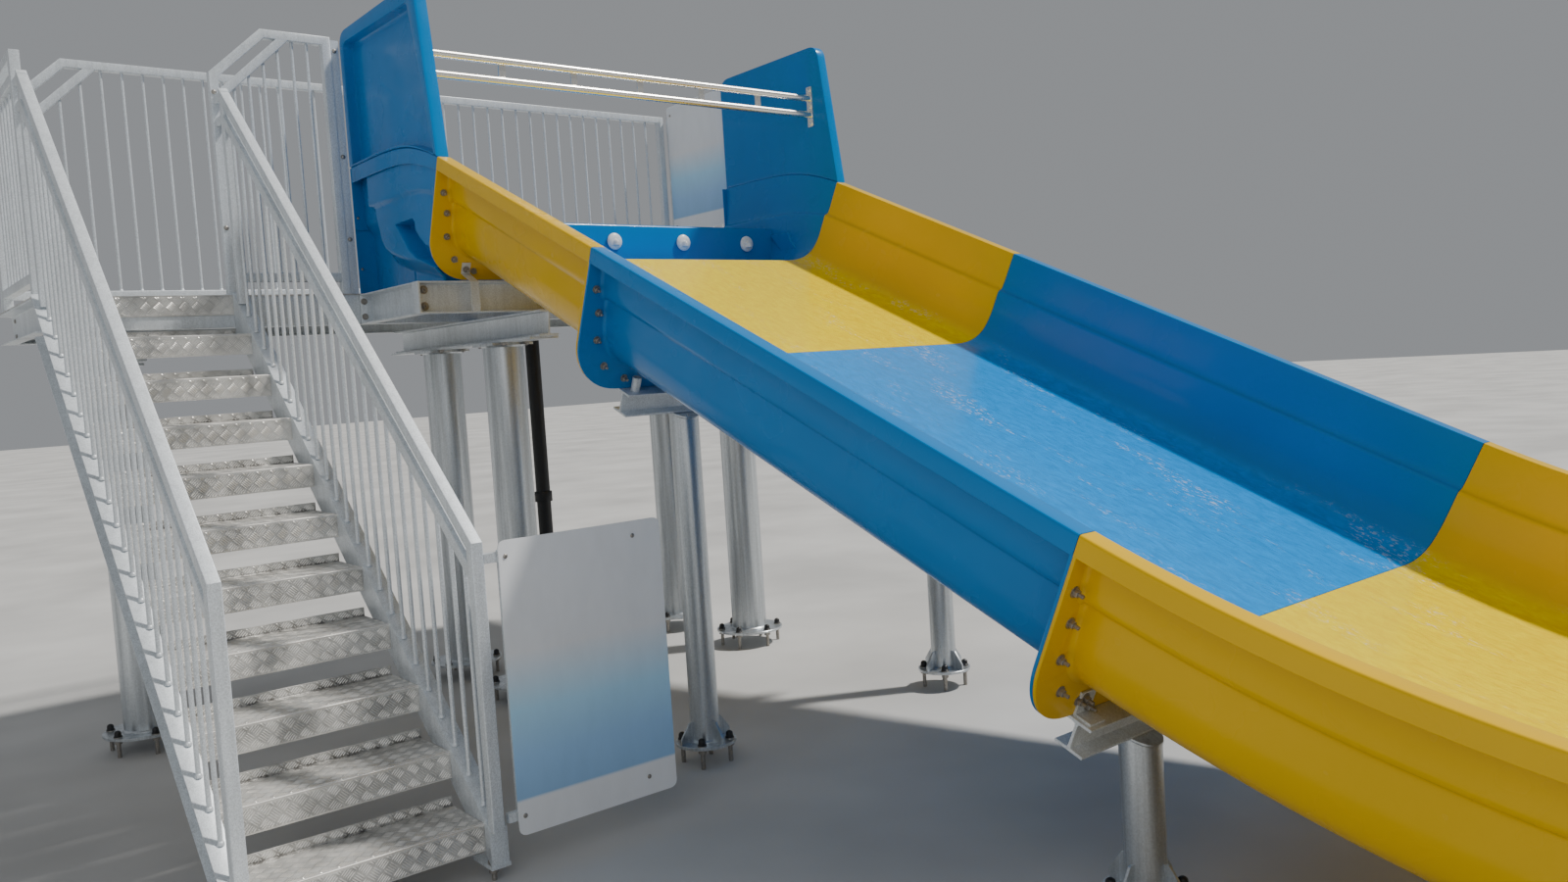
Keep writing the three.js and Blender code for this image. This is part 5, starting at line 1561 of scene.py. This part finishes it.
class TOWER_OT_columns(Operator):
    """Builds the cap beams, the columns and legs with their bases, studs and caps"""

    bl_idname = "tower.columns"
    bl_label = "Columns and cap beams"

    # The base plates' and cap plates' thickness, and half the length of the beams across the channel.
    base_thick, cap_thick, beam_half = 0.012, 0.010, 0.980

    def studs(self, spots, washer):
        """Anchor studs through a base plate with their lower nuts, and the domed caps over the upper ones.
        The washer's height may be zero."""
        low = bpy.context.scene.tower_supports.under
        top = low + self.base_thick
        nut = turned([(0.0145, low - 0.016), (0.0145, low)], 12, 6)
        parts = [turned([(0.009, 0.0), (0.009, top)], 12), nut]
        if washer:
            parts.append(turned([(0.019, top), (0.019, top + washer)], 16))
            top += washer
        rise = np.linspace(0, 1.4, 6)
        profile = [(0.0175, top), (0.0175, top + 0.004), (0.0150, top + 0.006)]
        profile += [(0.0145 * math.cos(a), top + 0.016 + 0.0125 * math.sin(a)) for a in rise]
        return repeated(joined(parts), spots), repeated(turned(profile, 16), spots)

    def fins(self, radius, base, low):
        """Four upright plates round a leg's foot."""
        count, foot, head = 4, low + 0.010, low + 0.096
        outline = eased([
            (radius - 0.006, foot, 0.001), (base - 0.004, foot, 0.001), (base - 0.004, low + 0.036, 0.003),
            (radius + 0.016, head, 0.004), (radius - 0.006, head, 0.001),
        ], 2)
        angle = np.arange(count) * 2 * np.pi / count
        cos, sin, zero = np.cos(angle), np.sin(angle), np.zeros(count)
        turns = np.stack([cos, -sin, zero, sin, cos, zero, zero, zero, zero + 1], -1).reshape(-1, 3, 3)
        return repeated(plate_xz(outline, -0.004, 0.004), np.zeros((count, 3)), turns)

    def column(self, name, node, x, y, top, is_leg=False):
        """A column from its base plate to its top, with weld beads. A leg is slimmer, has fins at its foot
        and a top cut to the slope; a tower column ends in a square cap. Gives its studs and caps."""
        slide, support = settings("slide", "supports")
        low = support.under
        radius, base, count = support.tower, support.base, 6
        crown = [(0.0, top - 0.020), (0.006, top - 0.013), (0.008, top - 0.008)]
        if is_leg:
            radius, base, count = support.leg, support.small_base, 4
            crown = [(0.0, top - 0.010), (0.003, top - 0.006), (0.003, top)]
        weld = [(0.008, low + 0.010), (0.007, low + 0.015), (0.0, low + 0.021)]
        tube = turned([(radius + out, z) for out, z in weld + crown], 48)
        rim, thick = 0.001, self.base_thick
        profile = [(base - rim, low), (base, low + rim), (base, low + thick - rim), (base - rim, low + thick)]
        parts = [turned(profile, 64), tube]
        if is_leg:
            points = tube[0]
            points[:, 2] += math.tan(slide.slope) * points[:, 1] * (points[:, 2] > top - 0.030)
            parts.append(self.fins(radius, base, low))
        else:
            cap = radius + 0.012
            parts.append(block((-cap, -cap, top - 0.012), (cap, cap, top), 0.006))
        parts = [moved(part, (x, y, 0)) for part in parts]
        build(name, parts, drawn_tube(), [node])
        angle = (np.arange(count) + 0.5) * 2 * np.pi / count
        ring = base - 0.026
        spots = np.stack([x + np.cos(angle) * ring, y + np.sin(angle) * ring, np.zeros(count)], 1)
        return self.studs(spots, 0.0035)

    def cap_beam(self, name, x, front, slant, bolt_y):
        """A cap beam with its slanted front end and the plate under it. Gives the bolts through it."""
        stair, platform = settings("stair", "platform")
        top = stair.rise * stair.risers - stair.plate - CLEAR - platform.beam - CLEAR
        height, width, plate_half, back = 0.120, 0.100, 0.075, 0.905
        low = top - height
        path = [(x, back, top - height / 2), (x, front, top - height / 2)]
        end = (0.0, -math.cos(slant * 3), -math.sin(slant * 3))
        beam = carry(i_section(height, width, 0.008, 0.010), path, X_AXIS, end=end)
        under = low - self.cap_thick
        corner = (x + plate_half, back + 0.010, low + 0.0005)
        plate = block((x - plate_half, front + slant, under), corner, 0.002)
        steelwork("cap_beam_on_" + name, [beam, plate], "cap_beam_" + name)
        spots = [(x + dx, y, under) for dx in (-0.060, 0.060) for y in bolt_y]
        return studded(bolt_nut(0.024, 0.018, 0.004), -Z_AXIS, spots), under - CLEAR

    def joint_beam(self, number, s):
        """A beam under a joint, tilted with the slope: on cleats at the second joint, with a tube stub at
        each side at the first. Gives its bolts and where the legs meet it."""
        slide = bpy.context.scene.tower_slide
        joint = slide_line(slide, s)
        place, up, way = joint
        tall, thick, face, foot = 0.090, 0.007, slide.flange + 0.00045, -slide.below - 0.0006
        stub_out, cleat_out, cleat_half, shelf = 0.926, 0.940, 0.030, face + 0.056
        middle = place + up * (foot - tall / 2) + way * 0.034
        half = (self.beam_half, 0, 0)
        parts = [carry(i_section(tall, tall, 0.008, 0.008), [middle - half, middle + half], way)]
        bolts = []
        cleat = rounded([
            beside_joint(joint, foot, shelf), beside_joint(joint, foot, face),
            beside_joint(joint, -0.034, face), beside_joint(joint, -0.034, face + thick),
            beside_joint(joint, foot + thick, face + thick), beside_joint(joint, foot + thick, shelf),
        ], 0.0012, 2)
        stub = turned([(0.0178, 0), (0.0178, 0.054), (0.0148, 0.054), (0.0148, 0.004)], 28)
        for sign in (-1, 1):
            if number == 1:
                spot = place + up * foot + way * 0.036 + (sign * stub_out, 0, 0)
                parts.append(placed(stub, np.column_stack([X_AXIS, -way, up]), spot))
                continue
            x = slide.middle + sign * cleat_out
            parts.append(plate_yz(cleat, x - cleat_half, x + cleat_half))
            for dx, height in ((-0.012, -0.052), (0.013, -0.080)):
                spot = (x + dx, *beside_joint(joint, height, face + thick))
                bolts.append(placed(bolt_nut(), downhill(way), spot))
        steelwork("joint_beam_%d" % number, parts, "slide_beam_%d" % number)
        under = middle - up * tall / 2
        y = float((place - up * slide.below)[1]) - 0.020
        return bolts, y, float(under[2]) + (y - float(under[1])) * math.tan(slide.slope) - 0.0005

    def low_support(self, name, s, back):
        """A beam near the ground on two base plates. Gives its studs and caps."""
        slide, support = settings("slide", "supports")
        place, _, _ = slide_line(slide, s)
        y, top = float(place[1]) + back, float(place[2]) - slide.below - CLEAR
        low = support.under
        under, plate_x, plate_y, stud_x, stud_y = low + 0.011, 0.110, 0.092, 0.085, 0.067
        path = [(slide.middle + sign * self.beam_half, y, (top + under) / 2) for sign in (-1, 1)]
        parts = [carry(i_section(top - under, 0.090, 0.008, 0.008), path, -Y_AXIS)]
        spots = []
        for x in (slide.middle - support.half, slide.middle + support.half):
            corner = (x + plate_x, y + plate_y, low + self.base_thick)
            parts.append(block((x - plate_x, y - plate_y, low), corner, 0.004))
            spots += [(x + dx, y + dy, 0) for dx in (-stud_x, stud_x) for dy in (-stud_y, stud_y)]
        steelwork("run_out_beam_" + name, parts, "runout_support_" + name)
        return self.studs(spots, 0.0)

    def execute(self, context):
        slide, support, finishes = settings("slide", "supports", "finishes")
        left, right = slide.middle - support.half, slide.middle + support.half
        stair_x, back_y, front_y = -0.430, 0.400, -0.310
        bolts, pairs = [], []
        reach = 0.130
        near = (back_y - reach, back_y + reach)
        far = near + (front_y - reach, front_y + reach)
        cap_beams = [
            ("stair", stair_x, 0.060, 0.018, near), ("left", left, -0.790, 0.058, far),
            ("right", right, -0.790, 0.058, far),
        ]
        for beam in cap_beams:
            beam_bolts, top = self.cap_beam(*beam)
            bolts.append(beam_bolts)
        columns = [
            ("stair", stair_x, back_y), ("back_left", left, back_y), ("back_right", right, back_y),
            ("front_left", left, front_y), ("front_right", right, front_y),
        ]
        for name, x, y in columns:
            pairs.append(self.column("column_" + name, "tower_column_" + name, x, y, top))
        a, b, c, d = slide.sections
        for number, s in ((1, a), (2, a + b)):
            beam_bolts, y, peak = self.joint_beam(number, s)
            bolts += beam_bolts
            for side, x in (("left", left), ("right", right)):
                name = "leg_%d_%s" % (number, side)
                pairs.append(self.column(name, "slide_" + name, x, y, peak, True))
        for name, s, back in (("middle", a + b + c, 0.0), ("end", a + b + c + d, 0.045)):
            pairs.append(self.low_support(name, s, back))
        fasteners("anchor_studs", [studs for studs, _ in pairs])
        black = plain("black_caps", finishes.black, 0.0, 0.4)
        build("stud_caps", [caps for _, caps in pairs], black)
        fasteners("beam_bolts", bolts)
        return {"FINISHED"}


# The boards.


class TOWER_OT_boards(Operator):
    """Builds the two plain boards and their brackets"""

    bl_idname = "tower.boards"
    bl_label = "Boards"

    def face(self, name, plate, across, low, high, replaces=()):
        """A board's face with a UV from its lower corner: metres across, and a share of its height up."""
        points = plate[0]
        chart = np.column_stack([points[:, across] - low[0], (points[:, 2] - low[1]) / (high[1] - low[1])])
        build(name, [plate], board_finish(), replaces, maps=chart)

    def execute(self, context):
        y = -context.scene.tower_stair.foot - 0.025
        low, high = (0.088, 0.130), (0.690, 1.075)
        ring = window(low, high, 0.028, 6)
        self.face("stair_board", plate_xz(ring, y - 0.006, y - 0.0012), 0, low, high)
        front, back, reach = y - 0.001, y + 0.029, 0.600
        arms = [
            block((0.0423, front, 1.010), (reach, back, 1.040), 0.003),
            block((0.0603, y + 0.008, 0.178), (reach, back, 0.208), 0.003),
            block((0.560, front, 0.170), (reach, back, 1.045), 0.003),
            block((0.096, front, 0.170), (0.126, back, 1.045), 0.003),
        ]
        steelwork("stair_board_arms", [plate_xz(ring, y - 0.0012, y)] + arms, "rules_board")
        stair_heads = [(x, y - 0.006, z) for x in (0.111, 0.580) for z in (0.193, 1.025)]
        low, high, fence_x = (0.216, 2.470), (0.874, 3.298), 3.035
        plate = plate_yz(window(low, high, 0.025, 6), fence_x, fence_x + 0.0063)
        self.face("platform_board", plate, 1, low, high, ["safety_board"])
        fence_heads = [(fence_x, across, z) for across in (0.25, 0.84) for z in (2.52, 3.24)]
        head = dome(0.008, 0.004)
        fasteners("board_bolts", [studded(head, -Y_AXIS, stair_heads), studded(head, -X_AXIS, fence_heads)])
        return {"FINISHED"}


# The studio.


class TOWER_OT_stage(Operator):
    """Lays the studio floor, the soft lights and the camera"""

    bl_idname = "tower.stage"
    bl_label = "Stage"

    def floor(self, stage):
        """A wide grid just under the ground's height."""
        reach, lines, under = 60.0, 13, 0.0005
        u, v = np.meshgrid(np.linspace(-reach, reach, lines), np.linspace(-reach, reach, lines))
        grid = np.stack([u, v, 0 * u - under], -1)
        mesh = bpy.data.meshes.new("studio_floor")
        mesh.from_pydata(grid.reshape(-1, 3).tolist(), [], bands(lines, lines, wrap=False).tolist())
        mesh.materials.append(plain("studio_floor", stage.floor, 0.0, 0.75, 0.8))
        added("studio_floor", mesh)

    def lights(self, context, stage):
        """A pale sky, a sun and one large lamp on the stair's side."""
        world = bpy.data.worlds.new("studio")
        context.scene.world = world
        world.use_nodes = True
        ground = world.node_tree.nodes["Background"]
        ground.inputs["Color"].default_value = (*stage.sky, 1)
        ground.inputs["Strength"].default_value = stage.sky_strength
        sun = bpy.data.lights.new("key", "SUN")
        sun.energy = stage.sun_strength
        sun.angle = math.radians(4.0)
        sun.color = (1.0, 0.965, 0.91)
        toward = Vector((-0.62, 0.36, -0.98))
        added("key", sun).rotation_euler = toward.to_track_quat("-Z", "Y").to_euler()
        fill = bpy.data.lights.new("fill", "AREA")
        fill.energy = stage.fill_power
        fill.size = 8.0
        lamp = added("fill", fill)
        lamp.location = (-7.0, -6.0, 6.0)
        aim = Vector((0.0, 0.5, 1.2))
        lamp.rotation_euler = (aim - lamp.location).to_track_quat("-Z", "Y").to_euler()

    def camera(self, context, stage):
        """The photo's viewpoint: ahead is (sin yaw cos pitch, cos yaw cos pitch, -sin pitch), and roll
        turns right and up about it."""
        yaw, pitch, roll = stage.yaw, stage.pitch, stage.roll
        ahead = Vector((math.sin(yaw) * math.cos(pitch), math.cos(yaw) * math.cos(pitch), -math.sin(pitch)))
        right = Vector((math.cos(yaw), -math.sin(yaw), 0.0))
        up = right.cross(ahead)
        turned_right = right * math.cos(roll) + up * math.sin(roll)
        turned_up = up * math.cos(roll) - right * math.sin(roll)
        lens = bpy.data.cameras.new("camera")
        lens.sensor_width = 36.0
        lens.lens = stage.lens
        lens.clip_end = 400.0
        camera = added("camera", lens)
        place = Vector(stage.camera) + Vector(ORIGIN)
        basis = Matrix((turned_right, turned_up, -ahead)).transposed()
        camera.matrix_world = Matrix.Translation(place) @ basis.to_4x4()
        context.scene.camera = camera

    def execute(self, context):
        stage = context.scene.tower_stage
        self.floor(stage)
        self.lights(context, stage)
        self.camera(context, stage)
        return {"FINISHED"}


class TOWER_PT_panel(bpy.types.Panel):
    """Lists the slide tower's builders"""

    bl_idname = "TOWER_PT_panel"
    bl_label = "Slide tower"
    bl_space_type = "VIEW_3D"
    bl_region_type = "UI"
    bl_category = "Slide tower"

    def draw(self, context):
        for operator in OPERATORS:
            self.layout.operator(operator.bl_idname)
        for _, name in GROUPS:
            box = self.layout.box()
            group = getattr(context.scene, name)
            for key in group.bl_rna.properties.keys():
                if key not in {"rna_type", "name"}:
                    box.prop(group, key)


GROUPS = [
    (StairSizes, "tower_stair"), (PlatformSizes, "tower_platform"), (SlideSizes, "tower_slide"),
    (StartSizes, "tower_start"), (SupportSizes, "tower_supports"), (Finishes, "tower_finishes"),
    (StageSetup, "tower_stage"),
]
OPERATORS = [
    TOWER_OT_channel, TOWER_OT_start_tub, TOWER_OT_wings, TOWER_OT_nozzles, TOWER_OT_grab_rail,
    TOWER_OT_treads, TOWER_OT_stair, TOWER_OT_platform, TOWER_OT_tub_frame, TOWER_OT_columns,
    TOWER_OT_boards, TOWER_OT_stage,
]


def register():
    for group, name in GROUPS:
        bpy.utils.register_class(group)
        setattr(bpy.types.Scene, name, PointerProperty(type=group))
    for operator in OPERATORS:
        bpy.utils.register_class(operator)
    bpy.utils.register_class(TOWER_PT_panel)


def unregister():
    bpy.utils.unregister_class(TOWER_PT_panel)
    for operator in reversed(OPERATORS):
        bpy.utils.unregister_class(operator)
    for group, name in reversed(GROUPS):
        delattr(bpy.types.Scene, name)
        bpy.utils.unregister_class(group)


def main():
    register()
    for operator in OPERATORS:
        family, name = operator.bl_idname.split(".")
        getattr(getattr(bpy.ops, family), name)()


if __name__ == "__main__":
    main()
